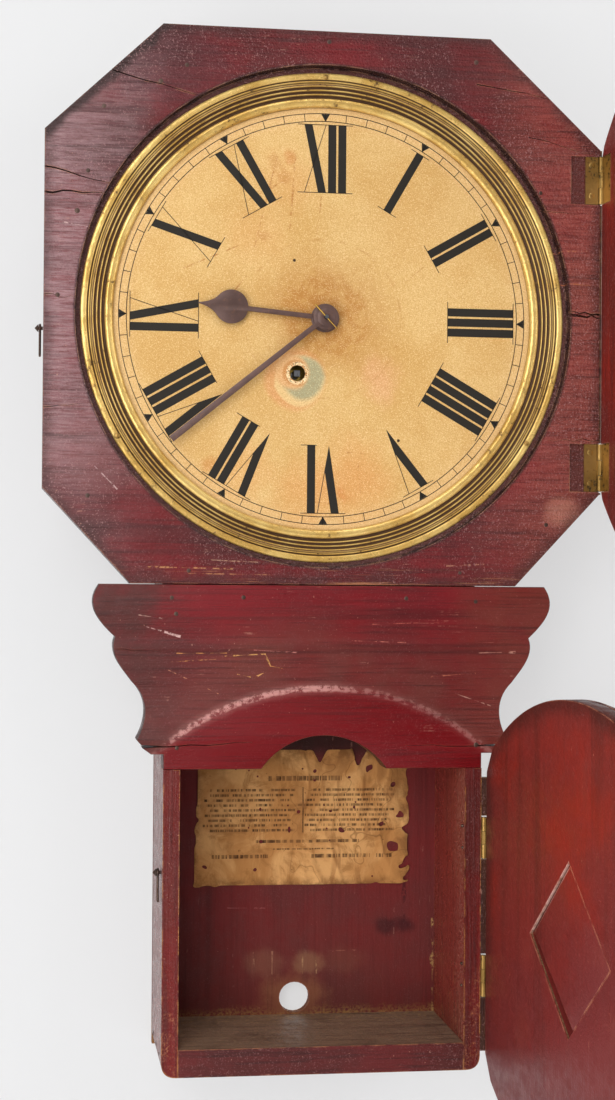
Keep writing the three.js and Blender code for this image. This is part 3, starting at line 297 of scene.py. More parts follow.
@dataclass(frozen=True)
class WoodPaint:
    """Old paint over pine, with grain, pimples, grime, flecks, painted glints and worn edges."""

    name: str
    base: str = "701418"
    second: str = "5c1a18"
    dark: str = "2c1312"
    bare: str = "b07a5c"
    fleck: str = "c08a78"
    grain: Grain = Grain.ALONG_X
    relief: float = 0.5
    flecks: float = 0.5
    sparkle: float = 0.3
    grime: float = 0.5
    edge: float = 0.6
    shine: tuple[float, float] = (0.28, 0.5)
    gloss: float = 0.28
    pimples: float = 0.35
    spots: tuple[tuple[float, float, float, float, str], ...] = ()
    scratches: tuple[tuple[Point, Point, float, str], ...] = ()

    def make(self) -> bpy.types.Material:
        """Builds the paint's material."""
        s = Shader(self.name)
        along = s.stretched(self.grain.value)
        fibre = s.noise(1.0, 6.0, 0.6, along, 0.4)
        lines = s.noise(2.6, 3.0, 0.5, along, 0.2)
        bands = s.noise(0.11, 4.0, 0.55, along, 1.2)
        broad = s.noise(13.0, 6.0, 0.6)
        mottle = s.noise(110.0, 6.0, 0.65)
        s.colour = s.mix(s.ramp(broad, 0.38, 0.6), self.base, self.second)
        s.lay(s.ramp(bands, 0.5, 0.66) * 0.4, self.dark)
        s.lay(s.ramp(mottle, 0.54, 0.7) * 0.35, self.second)
        for x, z, radius, strength, tint in self.spots:
            spot = s.patch(x, z, radius, radius * 1.6, 1.4, 0.5) * strength
            s.lay(spot, tint)
        # Each board's own marks: real dirt and wear, and on some boards painted light and shade
        self.dirt(s)
        streak = s.ramp(fibre, 0.5, 0.68) * self.grime
        s.lay(streak, self.dark)
        s.lay(s.ramp(lines, 0.56, 0.7) * self.grime, self.dark)
        worn = s.ramp(lines, 0.42, 0.3) * s.ramp(s.noise(60.0, 6.0, 0.7), 0.58, 0.68)
        s.lay(worn * self.flecks, self.fleck)
        chips = s.ramp(s.noise(520.0, 2.0, 0.5), 0.73, 0.77)
        s.lay(chips * self.flecks, self.fleck)
        # Painted highlights: tiny pale specks stand in for glints on the paint's pimples
        glints = s.ramp(s.noise(950.0, 2.0, 0.6), 0.58, 0.68) * s.ramp(broad, 0.3, 0.65)
        s.lay(glints * self.sparkle, "b88a88")
        for start, end, width, tint in self.scratches:
            s.lay(s.segment(start, end, width), tint)
        edge = s.edges() * s.ramp(s.noise(70.0, 6.0, 0.7), 0.42, 0.58)
        s.lay(edge * self.edge, self.bare)
        pimple = s.noise(600.0, 3.0, 0.6)
        rough = s.ramp(mottle, 0.35, 0.65, *self.shine)
        normal = s.bumps((fibre, self.relief, 0.0012), (pimple, self.pimples, 0.001), (lines, self.relief, 0.0004))
        return s.surface(rough, 0.0, normal, Specular_IOR_Level=self.gloss)

    def dirt(self, s: Shader) -> None:
        """Adds one board's own dirt and wear, and on some boards painted light and shade, which plain boards don't
        have.
        """


@dataclass(frozen=True)
class OctagonPaint(WoodPaint):
    """Paint of the octagonal board: dark round its rim, with painted shade round its opening and in its recesses, and a
    painted glare at its left.
    """

    sides: tuple[tuple[float, float, float], ...] = (
        (0.0, 1.0, 0.208), (0.0, -1.0, 0.1955), (1.0, 0.0, 0.2055), (-1.0, 0.0, 0.2055),
        (0.683, 0.731, 0.2347), (-0.683, 0.731, 0.2347), (0.731, -0.682, 0.2372), (-0.731, -0.682, 0.2372),
    )
    opening: float = 0.1832

    def dirt(self, s: Shader) -> None:
        """Adds the rim's grime, the painted glare at the left, the paler right side, and the painted shade round the
        opening and in the recesses.
        """
        x, y, z = s.axes()
        out = None
        for nx, nz, far in self.sides:
            side = x * nx + z * nz - far
            out = side if out is None else s.most(out, side)
        uneven = s.uneven(34.0, 6.0, 0.65, 0.022)
        rim = s.ramp(out + uneven, -0.012, 0.001, 0.0, 0.6)
        # Painted glare: a streaked pale mauve over the left of the board, weaker towards its foot, stands in for the
        # lamps' reflection
        left = s.ramp(x + s.noise(24.0, 6.0, 0.65) * 0.09, -0.06, -0.17)
        streaks = s.ramp(s.noise(0.5, 8.0, 0.75, s.stretched((130.0, 900.0, 1500.0))), 0.36, 0.6, 0.35, 1.0)
        painted_glare = left * streaks * s.ramp(z, -0.16, -0.04, 0.25, 1.0)
        s.lay(painted_glare * 0.85, "a08082")
        right = s.ramp(x + s.noise(24.0, 6.0, 0.65) * 0.06, 0.12, 0.22)
        s.lay(right * streaks * 0.55, "a8584c")
        s.lay(rim, "38221f")
        # Painted shadow: a dark band along the edge of the opening and down its wall, in the gap between board and
        # bezel
        ring = s.ramp(s.distance(0.0, 0.0) + uneven * 0.08, self.opening, 0.1852, 0.8, 0.0)
        s.lay(ring, "241010")
        corner = x * -0.683 + z * 0.731 - 0.2347
        corner = s.ramp(corner + uneven * 0.7, -0.009, -0.003, 0.0, 0.85)
        s.lay(corner, "2e1e1c")
        low = s.ramp(z, -0.176, -0.19) * s.ramp(s.noise(0.8, 5.0, 0.7, s.stretched((16.0, 300.0, 420.0))), 0.56, 0.66)
        s.lay(low * 0.6, "b5764e")
        # Painted shade: the recessed faces (the opening's wall, the hinge mortises and the cracks' sides) are laid dark
        # brown; the ledge inside the opening is then laid a lighter brown
        sunk = (y > -0.0874) * (y < -0.0695)
        front = out < -0.0015
        s.lay(sunk * front * 0.8, s.mix(x > 0.184, "2a1614", "4a201c"))
        step = sunk * (s.distance(0.0, 0.0) < 0.1822)
        s.lay(step, "56302a")


@dataclass(frozen=True)
class ApronPaint(WoodPaint):
    """Paint of the apron: brown towards its ears, with a pale worn arc and a clean red foot."""

    arc_z: float = -0.4559
    arc_radius: float = 0.1854

    def dirt(self, s: Shader) -> None:
        """Adds the brown ears, the arc, the foot, and painted shade on the faces that turn away from the front."""
        x, _, z = s.axes()
        side = abs(x) + s.noise(26.0, 6.0, 0.6) * 0.05
        reach = s.distance(0.0, self.arc_z)
        above = s.ramp(reach, self.arc_radius - 0.001, self.arc_radius + 0.002)
        band = s.ramp(reach, self.arc_radius + 0.075, self.arc_radius + 0.012) * above
        band = band * s.ramp(s.noise(30.0, 5.0, 0.6), 0.3, 0.6, 0.35, 0.85)
        s.lay(band, "63302a")
        ears = s.ramp(side, 0.105, 0.165) * s.ramp(s.noise(45.0, 6.0, 0.65), 0.3, 0.6, 0.5, 1.0)
        ears = ears * s.ramp(z, -0.322, -0.312, 0.25, 1.0)
        s.lay(ears, s.mix(s.ramp(x, -0.08, 0.08), "4c201c", "6c2c24"))
        below = s.ramp(reach, self.arc_radius + 0.001, self.arc_radius - 0.004)
        s.lay(below * 0.8, "6a080e")
        wide = s.arc(0.0, self.arc_z, self.arc_radius, 0.0034, 0.0035)
        wide = wide * s.ramp(s.noise(230.0, 6.0, 0.75), 0.42, 0.54, 0.05, 1.0)
        thin = s.arc(0.0, self.arc_z, self.arc_radius, 0.0065, 0.004) * 0.14
        wide = s.most(wide, thin)
        wide = wide * s.ramp(x, -0.01, 0.04, 1.0, 0.35)
        wide = wide * s.ramp(x, -0.122, -0.1, 0.2, 1.0)
        s.lay(wide * 0.75, "cc948c")
        # Painted shade: faces turned away from the front, such as the rounded edges, are laid dark brown in ragged
        # patches
        rough = s.ramp(s.noise(60.0, 5.0, 0.65), 0.35, 0.6, 0.55, 0.9)
        rim = s.ramp(s.facing()[1], -0.93, -0.6) * rough
        s.lay(rim, "2c1512")


@dataclass(frozen=True)
class DoorPaint(WoodPaint):
    """Paint of the open lower door, dark round its rim."""

    axis_y: float = -0.0884
    lean: float = 0.9877
    centre: Point = (0.1225, -0.434)
    radius: float = 0.164
    diamond: Point = (0.052, 0.058)

    def dirt(self, s: Shader) -> None:
        """Adds a dark band round the rim, painted shade along the hinge side, darkening towards the bottom and the free
        edge, and rubbed patches.
        """
        _, y, z = s.axes()
        out = (self.axis_y - y) / self.lean
        dx, dz = out - self.centre[0], z - self.centre[1]
        reach = s.math("SQRT", dx * dx + dz * dz)
        uneven = s.uneven(36.0, 6.0, 0.65, 0.02)
        rim = s.ramp(reach + uneven, self.radius - 0.016, self.radius, 0.0, 0.7)
        # Painted shade along the hinge side; the same dark brown is laid in a band round the rim and towards the bottom
        hinge = s.ramp(out + uneven, 0.018, 0.004, 0.0, 0.65)
        low = s.ramp(z + uneven * 4.0, -0.50, -0.575, 0.0, 0.6)
        s.lay(s.most(s.most(rim, hinge), low), "3c1f1a")
        slope = s.noise(16.0, 6.0, 0.6) * 0.12 - (z - out * 0.5)
        s.lay(s.ramp(slope, 0.49, 0.60, 0.0, 0.75), "682626")
        pale = s.ramp(s.noise(18.0, 6.0, 0.6), 0.55, 0.7) * 0.35
        s.lay(pale, "7c342c")
        self.diamond_marks(s, dx, dz)

    def diamond_marks(self, s: Shader, dx: Value, dz: Value) -> None:
        """Adds the bare floor of the diamond's recess and the pale lines along its upper left edge, partly rubbed paint
        and partly painted highlight.
        """
        x, y, _ = s.axes()
        width, height = self.diamond
        size = abs(dx) * (1 / width) + abs(dz) * (1 / height)
        depth = (x - 0.1195) * 0.988 + (y + 0.0882) * 0.156
        sunk = (depth > 0.0012) * (depth < 0.0085)
        inner = s.facing()[0] < 0.6
        sunk = sunk * inner * (size < 1.01)
        dusty = s.mix(s.ramp(s.noise(500.0, 5.0, 0.7), 0.4, 0.62), "5a4230", "86694a")
        s.lay(sunk, dusty)
        # Pale lines along the upper left edges only, the side that faces the light: partly rubbed paint, partly painted
        # highlight
        upper = (dx < 0.0) * (dz > 0.0)
        upper = upper * inner * (depth < 0.002)
        upper = upper * s.ramp(s.noise(200.0, 4.0), 0.34, 0.48, 0.3, 1.0)
        for share in (1.008, 0.944):
            line = s.ramp(abs(size - share), 0.006, 0.018, 1.0, 0.0)
            s.lay(line * upper * 0.8, "dcb0a4")


@dataclass(frozen=True)
class SidePaint(WoodPaint):
    """Paint of the box sides: rubbed at the foot of the left one and inside the right one, with painted light on the
    right one's inner face and a painted sheen on the left one's outer face.
    """

    def dirt(self, s: Shader) -> None:
        """Adds the rubbed patches, the painted light inside the right side and the painted sheen outside the left side.
        """
        x, y, z = s.axes()
        fine = s.ramp(s.noise(420.0, 6.0, 0.75), 0.48, 0.62)
        front = s.ramp(y + s.noise(50.0, 5.0) * 0.03, -0.038, -0.066)
        leftward = s.facing()[0] < -0.7
        # Painted light: the right side's inner face is laid a brighter red, standing in for the light that reaches into
        # the box
        deep = leftward * (x > 0.0)
        inner = deep * front * fine
        s.lay(deep * 0.6, "8c3a30")
        s.lay(inner * 0.5, "b88878")
        low = s.ramp(z + s.noise(40.0, 5.0) * 0.12, -0.40, -0.46)
        patch = low * fine * s.ramp(s.noise(90.0, 5.0, 0.7), 0.45, 0.6)
        s.lay(patch * 0.6, "b4724e")
        # Painted sheen: the left side's outer face is laid a pale grey mauve, standing in for the lamps' reflection
        outer = leftward * (x < -0.11)
        s.lay(outer * 0.5, "7c5c58")


@dataclass(frozen=True)
class BoxPaint(WoodPaint):
    """Paint of a board whose other faces are dusty or bare, with dust in its foot and painted shade at its top."""

    foot: float = -9.0
    shaded_top: float = 9.0
    other: str = "66503f"
    dust: str = "8f7a62"
    axis: int = 2
    least: float = 0.6

    def dirt(self, s: Shader) -> None:
        """Adds the dust in the foot, the painted shade at the top and the bare or dusty face."""
        _, y, z = s.axes()
        sifted = s.ramp(z + s.noise(80.0, 5.0) * 0.012, self.foot + 0.014, self.foot + 0.001)
        sifted = sifted * s.ramp(s.noise(500.0, 5.0, 0.7), 0.42, 0.56)
        s.lay(sifted * 0.8, "9a7442")
        # Painted shade: the board darkens above its shaded top, where the apron keeps the light from it
        s.lay(s.ramp(z, self.shaded_top - 0.012, self.shaded_top + 0.006, 0.0, 0.85), "2a1814")
        face = s.ramp(s.facing()[self.axis], self.least, self.least + 0.2)
        specks = s.ramp(s.noise(300.0, 7.0, 0.75), 0.48, 0.64)
        near = s.ramp(y + s.noise(60.0, 5.0) * 0.03, -0.03, 0.012, 0.25, 0.9)
        other = s.mix(specks * near, self.other, self.dust)
        grain = s.ramp(s.noise(26.0, 6.0, 0.65), 0.45, 0.65, 0.0, 0.4)
        s.lay(face, s.mix(grain, other, "44342a"))


@dataclass(frozen=True)
class Brass:
    """Brass, from bright lacquered to brown, with tarnish in its hollows."""

    name: str
    bright: str
    warm: str
    tarnish: str
    amount: float = 0.5
    shine: tuple[float, float] = (0.16, 0.42)
    hollows: bool = False
    dents: float = 0.2
    metal: float = 0.85

    def make(self) -> bpy.types.Material:
        """Builds the brass material."""
        s = Shader(self.name)
        broad = s.noise(26.0, 6.0, 0.6)
        fine = s.noise(260.0, 5.0, 0.65)
        s.colour = s.mix(s.ramp(broad, 0.35, 0.65), self.bright, self.warm)
        dirt = s.ramp(fine, 0.5, 0.72) * s.ramp(broad, 0.4, 0.62)
        if self.hollows:
            deep = s.node("ShaderNodeAttribute", attribute_name="hollow").outputs["Fac"]
            dirt = s.most(dirt, deep * s.ramp(fine, 0.2, 0.5, 0.75, 1.0))
        dirt = s.least(dirt * (self.amount * 2), 1.0)
        s.lay(dirt, self.tarnish)
        rough = s.ramp(dirt + fine * 0.4, 0.1, 1.1, *self.shine)
        normal = s.bumps((s.noise(150.0, 4.0), self.dents, 0.0012), (fine, 0.12, 0.0002))
        return s.surface(rough, self.metal, normal)


@dataclass(frozen=True)
class Steel:
    """Steel or zinc, bright or browned, with brush marks and rust specks."""

    name: str
    base: str
    second: str
    rust: str
    rusty: float = 0.4
    metal: float = 1.0
    shine: tuple[float, float] = (0.25, 0.5)

    def make(self) -> bpy.types.Material:
        """Builds the steel material."""
        s = Shader(self.name)
        broad = s.noise(60.0, 6.0, 0.6)
        fine = s.noise(1.0, 5.0, 0.6, s.stretched((900.0, 300.0, 120.0)))
        s.colour = s.mix(s.ramp(broad, 0.35, 0.65), self.base, self.second)
        specks = s.ramp(s.noise(420.0, 6.0, 0.7), 0.52, 0.66) * self.rusty
        s.lay(specks, self.rust)
        rough = s.ramp(specks + fine, 0.2, 1.2, *self.shine)
        normal = s.bumps((fine, 0.2, 0.0002), (broad, 0.2, 0.0004))
        return s.surface(rough, self.metal, normal)


@dataclass(frozen=True)
class DialPaper:
    """Golden old dial paper: grainy, stained round its centre, worn beside its winding hole."""

    name: str = "dial_cream"
    base: str = "c59a58"
    light: str = "d0aa6c"
    brown: str = "a86e2a"
    orange: str = "d08c4e"
    green: str = "8f9070"
    hole: Point = (-0.0197, -0.0404)
    streaks: tuple[tuple[Point, Point, float], ...] = (
        ((-0.036, 0.118), (-0.052, 0.052), 0.0006), ((-0.022, 0.121), (-0.026, 0.066), 0.0007),
        ((-0.060, 0.084), (-0.030, 0.101), 0.0005), ((-0.105, 0.034), (-0.064, 0.052), 0.0005),
        ((0.028, -0.128), (0.026, -0.104), 0.0004), ((-0.08, 0.002), (-0.058, 0.03), 0.0004),
        ((0.018, -0.098), (0.034, -0.0985), 0.0004), ((0.062, 0.030), (0.092, 0.055), 0.0004),
        ((-0.002, 0.094), (-0.006, 0.062), 0.0005), ((-0.012, -0.134), (0.016, -0.137), 0.0005),
    )

    def make(self) -> bpy.types.Material:
        """Builds the dial's material."""
        s = Shader(self.name)
        broad = s.noise(16.0, 6.0, 0.6)
        fine = s.noise(1250.0, 4.0, 0.65)
        blotch = s.noise(130.0, 7.0, 0.7)
        s.colour = s.mix(s.ramp(broad, 0.35, 0.65), self.base, self.light)
        margin = s.ramp(s.distance(0.0, 0.0), 0.136, 0.153, 0.0, 0.8)
        s.lay(margin, "d2aa72")
        halo = s.distance(0.002, 0.004, 1.1) + broad * 0.04
        stain = s.ramp(halo, 0.024, 0.082, 0.9, 0.0)
        stain = stain * s.ramp(blotch, 0.34, 0.6, 0.45, 1.0)
        s.lay(stain, "a86c26")
        ring = s.arc(0.001, 0.001, 0.0265, 0.007, 0.01)
        s.lay(ring * s.ramp(blotch, 0.4, 0.62, 0.0, 0.4), self.brown)
        for x, z, radius, strength, tint in (
            (-0.037, 0.112, 0.0035, 0.5, "b07a3a"), (-0.031, 0.102, 0.003, 0.5, "b07a3a"),
            (-0.046, 0.058, 0.003, 0.5, "b07a3a"), (-0.024, 0.118, 0.004, 0.6, "b8722e"),
            (0.014, -0.128, 0.004, 0.6, "b8722e"), (-0.085, -0.108, 0.005, 0.5, "b8722e"),
            (-0.026, 0.102, 0.018, 0.25, self.orange), (-0.05, 0.06, 0.02, 0.2, self.orange),
            (0.022, -0.118, 0.024, 0.5, self.orange), (-0.012, -0.128, 0.02, 0.4, self.orange),
            (-0.06, -0.115, 0.016, 0.3, self.orange), (0.042, -0.043, 0.013, 0.45, "dca07a"),
            (0.07, 0.07, 0.04, 0.25, "c99a5a"),
        ):
            s.lay(s.patch(x, z, radius, 0.03, 1.0, 0.8) * strength, tint)
        foxing = s.ramp(s.noise(240.0, 8.0, 0.75), 0.56, 0.68) * s.ramp(broad, 0.4, 0.6, 0.2, 0.8)
        s.lay(foxing * 0.35, "b9782f")
        for start, end, width in self.streaks:
            s.lay(s.segment(start, end, width * 1.6), "a9682a")
        scuff = s.arc(-0.001, 0.0, 0.0585, 0.0012, 0.003)
        s.lay(scuff * s.ramp(blotch, 0.45, 0.65, 0.0, 0.5), "b07a38")
        self.scraped(s)
        s.lay(s.ramp(fine, 0.5, 0.66, 0.0, 0.42), "a07236")
        s.lay(s.ramp(fine, 0.47, 0.34, 0.0, 0.42), "f6dfae")
        for x, z in ((-0.0225, 0.0425), (0.0563, -0.0886)):
            s.lay(s.patch(x, z, 0.0011, 0.0008), "3a2410")
        normal = s.bumps((fine, 0.35, 0.0003), (s.noise(60.0, 3.0), 0.1, 0.0004))
        return s.surface(s.ramp(fine, 0.3, 0.7, 0.6, 0.75), 0.0, normal, Specular_IOR_Level=0.3)

    def scraped(self, s: Shader) -> None:
        """Adds the worn rings and the green crescent round the winding hole."""
        x, z = self.hole
        for dx, dz, radius, soft, strength, tint in (
            (-0.002, -0.0045, 0.0225, 0.14, 0.65, "cf8e5a"), (0.0018, -0.0055, 0.0186, 0.08, 0.75, "d9bc82"),
            (0.0040, -0.0032, 0.0158, 0.16, 0.85, self.green), (-0.0040, 0.0005, 0.0128, 0.16, 0.95, "d2a06a"),
            (-0.0015, 0.0, 0.0098, 0.12, 0.8, "b9793c"),
        ):
            spot = s.patch(x + dx, z + dz, radius, 0.005, 1.0, soft)
            s.lay(spot * strength, tint)
        rim = abs(s.distance(x, z) - 0.0072)
        flecks = s.ramp(rim, 0.0006, 0.0018, 1.0, 0.0) * s.ramp(s.noise(800.0, 3.0), 0.44, 0.54)
        s.lay(flecks, "ead0a0")
        dark = s.ramp(rim, 0.0004, 0.0016, 1.0, 0.0) * s.ramp(s.noise(700.0, 3.0), 0.46, 0.38)
        s.lay(dark, "3a2614")


@dataclass(frozen=True)
class LabelPaper:
    """Brown aged label paper with damp stains and rows of dashes in place of print."""

    name: str = "label_brown"
    base: str = "cf9c62"
    second: str = "b27c46"
    stain: str = "5e3818"
    ink: str = "3a2012"
    pitch: float = 0.0039
    columns: tuple[Point, ...] = ((-0.0735, -0.0068), (0.0052, 0.072))
    rows: Point = (-0.3885, -0.3532)
    headings: tuple[tuple[Point, float, float, float], ...] = (
        ((-0.028, 0.030), -0.3463, 0.0021, 420.0), ((-0.042, 0.044), -0.3952, 0.0013, 330.0),
        ((-0.024, 0.024), -0.4012, 0.0006, 700.0), ((-0.072, -0.028), -0.4068, 0.0016, 380.0),
        ((0.006, 0.070), -0.4068, 0.0016, 380.0),
    )

    def make(self) -> bpy.types.Material:
        """Builds the label's material."""
        s = Shader(self.name)
        broad = s.noise(22.0, 7.0, 0.65, None, 0.8)
        fine = s.noise(700.0, 4.0, 0.6)
        s.colour = s.mix(s.ramp(broad, 0.36, 0.6), self.base, self.second)
        s.lay(s.ramp(s.noise(48.0, 8.0, 0.7, None, 1.2), 0.5, 0.66, 0.0, 0.6), "8a5a2c")
        self.print_rows(s)
        x, _, z = s.axes()
        crease = s.ramp(abs(s.noise(26.0, 2.0) - 0.5), 0.0, 0.008, 0.5, 0.0) * s.ramp(x, -0.06, 0.02)
        s.lay(crease, self.stain)
        folds = s.noise(1.0, 3.0, 0.5, s.stretched((70.0, 1.0, 22.0)), 0.8)
        # Painted shade along the folds, weaker in the left half
        s.lay(s.ramp(folds, 0.52, 0.6, 0.0, 0.5) * s.ramp(x, -0.03, 0.04, 0.3, 1.0), "8a5a30")
        border = s.least(s.ramp(x, -0.0866, -0.076), s.ramp(x, 0.0843, 0.068))
        border = s.least(border, s.least(s.ramp(z, -0.430, -0.421), s.ramp(z, -0.323, -0.342)))
        rim = (1.0 - border) * s.ramp(s.noise(90.0, 6.0, 0.7), 0.35, 0.6)
        s.lay(rim * 0.7, self.stain)
        specks = s.ramp(s.noise(150.0, 8.0, 0.75), 0.61, 0.68)
        s.lay(specks * 0.8, self.stain)
        normal = s.bumps((fine, 0.3, 0.0002), (broad, 0.4, 0.0016), (folds, 0.5, 0.003))
        return s.surface(0.85, 0.0, normal, Specular_IOR_Level=0.2)

    def span_mask(self, value: Value, low: float, high: float) -> Value:
        """Gives one between two bounds and nothing outside."""
        return (value > low) * (value < high)

    def dashes(self, s: Shader, row: Value | float, scale: float) -> Value:
        """Gives uneven dashes along a row of their own."""
        x = s.axes()[0]
        words = s.out("ShaderNodeCombineXYZ", {0: x * (scale * 0.13), 1: s.math("MULTIPLY", row, 7.7)})
        letters = s.out("ShaderNodeCombineXYZ", {0: x * (scale * 0.72), 1: s.math("MULTIPLY", row, 5.3)})
        word = s.ramp(s.noise(1.0, 1.0, 0.5, words), 0.34, 0.38)
        return word * s.ramp(s.noise(1.0, 2.0, 0.6, letters), 0.42, 0.52, 0.1, 1.0)

    def print_rows(self, s: Shader) -> None:
        """Adds rows of dashes in two columns, with bolder ones above and below, and a rule."""
        x, _, z = s.axes()
        step = (z - self.rows[0]) / self.pitch
        row, part = s.math("FLOOR", step), s.math("FRACT", step)
        bar = s.ramp(abs(part - 0.5), 0.2, 0.3, 1.0, 0.0)
        short = s.noise(1.0, 1.0, 0.5, s.out("ShaderNodeCombineXYZ", {0: s.math("MULTIPLY", row, 3.7)})) * 0.06
        short = s.most(short - 0.03, 0.0)
        moved = x + short
        inside = s.most(*(self.span_mask(moved, *column) for column in self.columns))
        inside = inside * self.span_mask(z, *self.rows)
        marks = bar * inside * self.dashes(s, row, 1000.0)
        rule = self.span_mask(x, -0.0012, 0.0) * self.span_mask(z, *self.rows)
        marks = s.most(marks, rule)
        for i, ((low, high), middle, half, scale) in enumerate(self.headings):
            line = s.ramp(abs(z - middle), half * 0.8, half, 1.0, 0.0)
            line = line * self.span_mask(x, low, high)
            marks = s.most(marks, line * self.dashes(s, 40.0 + i, scale * 2))
        worn = s.ramp(s.noise(120.0, 6.0, 0.7), 0.3, 0.6, 1.0, 0.6)
        s.lay(marks * worn, self.ink)


@dataclass(frozen=True)
class Ink:
    """Printed black ink, a little worn."""

    name: str = "dial_ink"

    def make(self) -> bpy.types.Material:
        """Builds the ink's material."""
        s = Shader(self.name)
        worn = s.ramp(s.noise(1500.0, 4.0, 0.7), 0.5, 0.75, 0.0, 0.35)
        s.colour = s.mix(worn, "201c16", "4a3d2a")
        return s.surface(s.ramp(worn, 0.0, 0.35, 0.6, 0.8), Specular_IOR_Level=0.25)


@dataclass(frozen=True)
class Pane:
    """Old window glass, faintly green and wavy."""

    name: str = "door_glass"

    def make(self) -> bpy.types.Material:
        """Builds the glass material."""
        s = Shader(self.name)
        normal = s.bumps((s.noise(14.0, 2.0), 0.05, 0.002))
        rough = s.ramp(s.noise(30.0, 5.0), 0.4, 0.8, 0.02, 0.1)
        s.colour = s.mix(s.ramp(s.noise(9.0, 5.0), 0.3, 0.7), "c8d2cc", "dfe6e0")
        return s.surface(rough, 0.0, normal, Alpha=0.13, Specular_IOR_Level=0.8)


@dataclass(frozen=True)
class StageWhite:
    """Matt white of the wall and the floor, unseen from behind."""

    name: str
    glow: float = 0.74
    share: float = 0.72

    def make(self) -> bpy.types.Material:
        """Builds the stage's material."""
        s = Shader(self.name)
        lit = s.out("ShaderNodeBsdfDiffuse", {"Color": (0.86, 0.86, 0.87, 1.0)})
        shine = s.out("ShaderNodeEmission", {"Color": (self.glow, self.glow, self.glow, 1.0)})
        path = s.node("ShaderNodeLightPath")
        seen = s.most(path.outputs["Is Camera Ray"], path.outputs["Is Glossy Ray"])
        seen = s.most(seen, path.outputs["Is Transmission Ray"])
        shade = path.outputs["Is Shadow Ray"]
        first = s.node("ShaderNodeMixShader", {0: seen * self.share, 1: lit, 2: shine})
        clear = s.out("ShaderNodeBsdfTransparent")
        back = s.node("ShaderNodeNewGeometry").outputs["Backfacing"]
        both = s.node("ShaderNodeMixShader", {0: s.most(back, shade), 1: first.outputs[0], 2: clear})
        s.tree.links.new(both.outputs[0], s.output.inputs[0])
        return s.material


# Patches of the boards: X, Z, radius, strength and colour
OCTAGON_SPOTS = (
    (0.178, -0.141, 0.010, 0.75, "b07a66"), (-0.175, 0.13, 0.035, 0.5, "3a2422"),
    (-0.12, 0.18, 0.03, 0.45, "42262a"), (0.1, 0.195, 0.04, 0.35, "3c1a1a"), (0.19, 0.02, 0.03, 0.4, "6e2a1e"),
    (-0.17, -0.1, 0.03, 0.3, "8a5a58"),
)
APRON_SPOTS = ((-0.052, -0.252, 0.016, 0.5, "7a3420"), (0.0, -0.262, 0.03, 0.3, "6a2a20"))
BACK_SPOTS = (
    (-0.031, -0.490, 0.010, 0.45, "8c5a44"), (0.0056, -0.490, 0.008, 0.6, "966a4c"),
    (0.032, -0.489, 0.010, 0.3, "7e4a38"), (0.0805, -0.461, 0.006, 0.8, "3c1618"),
    (0.0665, -0.463, 0.006, 0.8, "3c1618"), (0.0, -0.52, 0.06, 0.35, "54302a"),
    (-0.0064, -0.5166, 0.016, 0.5, "8a5a3c"),
)
BACK_SCRATCHES = (
    ((0.0805, -0.430), (0.0805, -0.459), 0.0016, "3c1618"), ((0.1035, -0.458), (0.1035, -0.529), 0.0016, "b08a54"),
    ((-0.0385, -0.481), (-0.0385, -0.499), 0.0008, "9a6a54"), ((-0.024, -0.481), (-0.024, -0.499), 0.0008, "9a6a54"),
    ((0.0, -0.481), (0.0, -0.498), 0.0009, "a27a58"), ((0.011, -0.481), (0.011, -0.498), 0.0009, "a27a58"),
    ((0.022, -0.481), (0.042, -0.481), 0.0006, "8a5444"), ((-0.06, -0.4465), (-0.03, -0.447), 0.0005, "8a4c48"),
)
APRON_SCRATCHES = (
    ((-0.108, -0.2455), (-0.072, -0.2452), 0.0005, "c98a4a"), ((-0.118, -0.252), (-0.08, -0.2497), 0.0005, "c08448"),
    ((-0.075, -0.2475), (-0.044, -0.2458), 0.0005, "d09a58"), ((-0.044, -0.2458), (-0.04, -0.2545), 0.0005, "d09a58"),
    ((-0.04, -0.2545), (-0.027, -0.257), 0.0005, "c98a4a"), ((-0.064, -0.2605), (-0.052, -0.263), 0.0005, "d8a060"),
    ((-0.052, -0.263), (-0.041, -0.2575), 0.0005, "d8a060"), ((-0.114, -0.2575), (-0.078, -0.2745), 0.0004, "c08060"),
    ((-0.052, -0.243), (-0.018, -0.2448), 0.0004, "c07a70"), ((-0.136, -0.218), (-0.118, -0.2205), 0.0005, "c8a090"),
    ((-0.13, -0.2265), (-0.106, -0.2335), 0.0008, "cfa8a0"), ((0.02, -0.236), (0.06, -0.2372), 0.0004, "b87060"),
    ((0.078, -0.262), (0.112, -0.2595), 0.0006, "b06a50"), ((0.096, -0.274), (0.124, -0.2835), 0.0005, "c09080"),
    ((0.035, -0.224), (0.09, -0.222), 0.0004, "a85a4c"), ((0.115, -0.2445), (0.142, -0.2440), 0.0006, "c08a78"),
)
OCTAGON_SCRATCHES = (
    ((-0.13, -0.1835), (-0.068, -0.1845), 0.0006, "c08a58"), ((-0.1, -0.188), (-0.04, -0.1885), 0.0005, "b57a50"),
    ((-0.168, -0.112), (-0.152, -0.128), 0.0006, "c8a8a4"), ((-0.192, 0.062), (-0.175, 0.0595), 0.0007, "c9a8a4"),
    ((0.165, 0.052), (0.195, 0.0535), 0.0008, "b06a48"), ((0.16, 0.03), (0.198, 0.028), 0.0006, "a8603e"),
    ((-0.088, -0.178), (-0.05, -0.1795), 0.0005, "c09478"), ((0.09, -0.181), (0.118, -0.1795), 0.0005, "b07a60"),
)


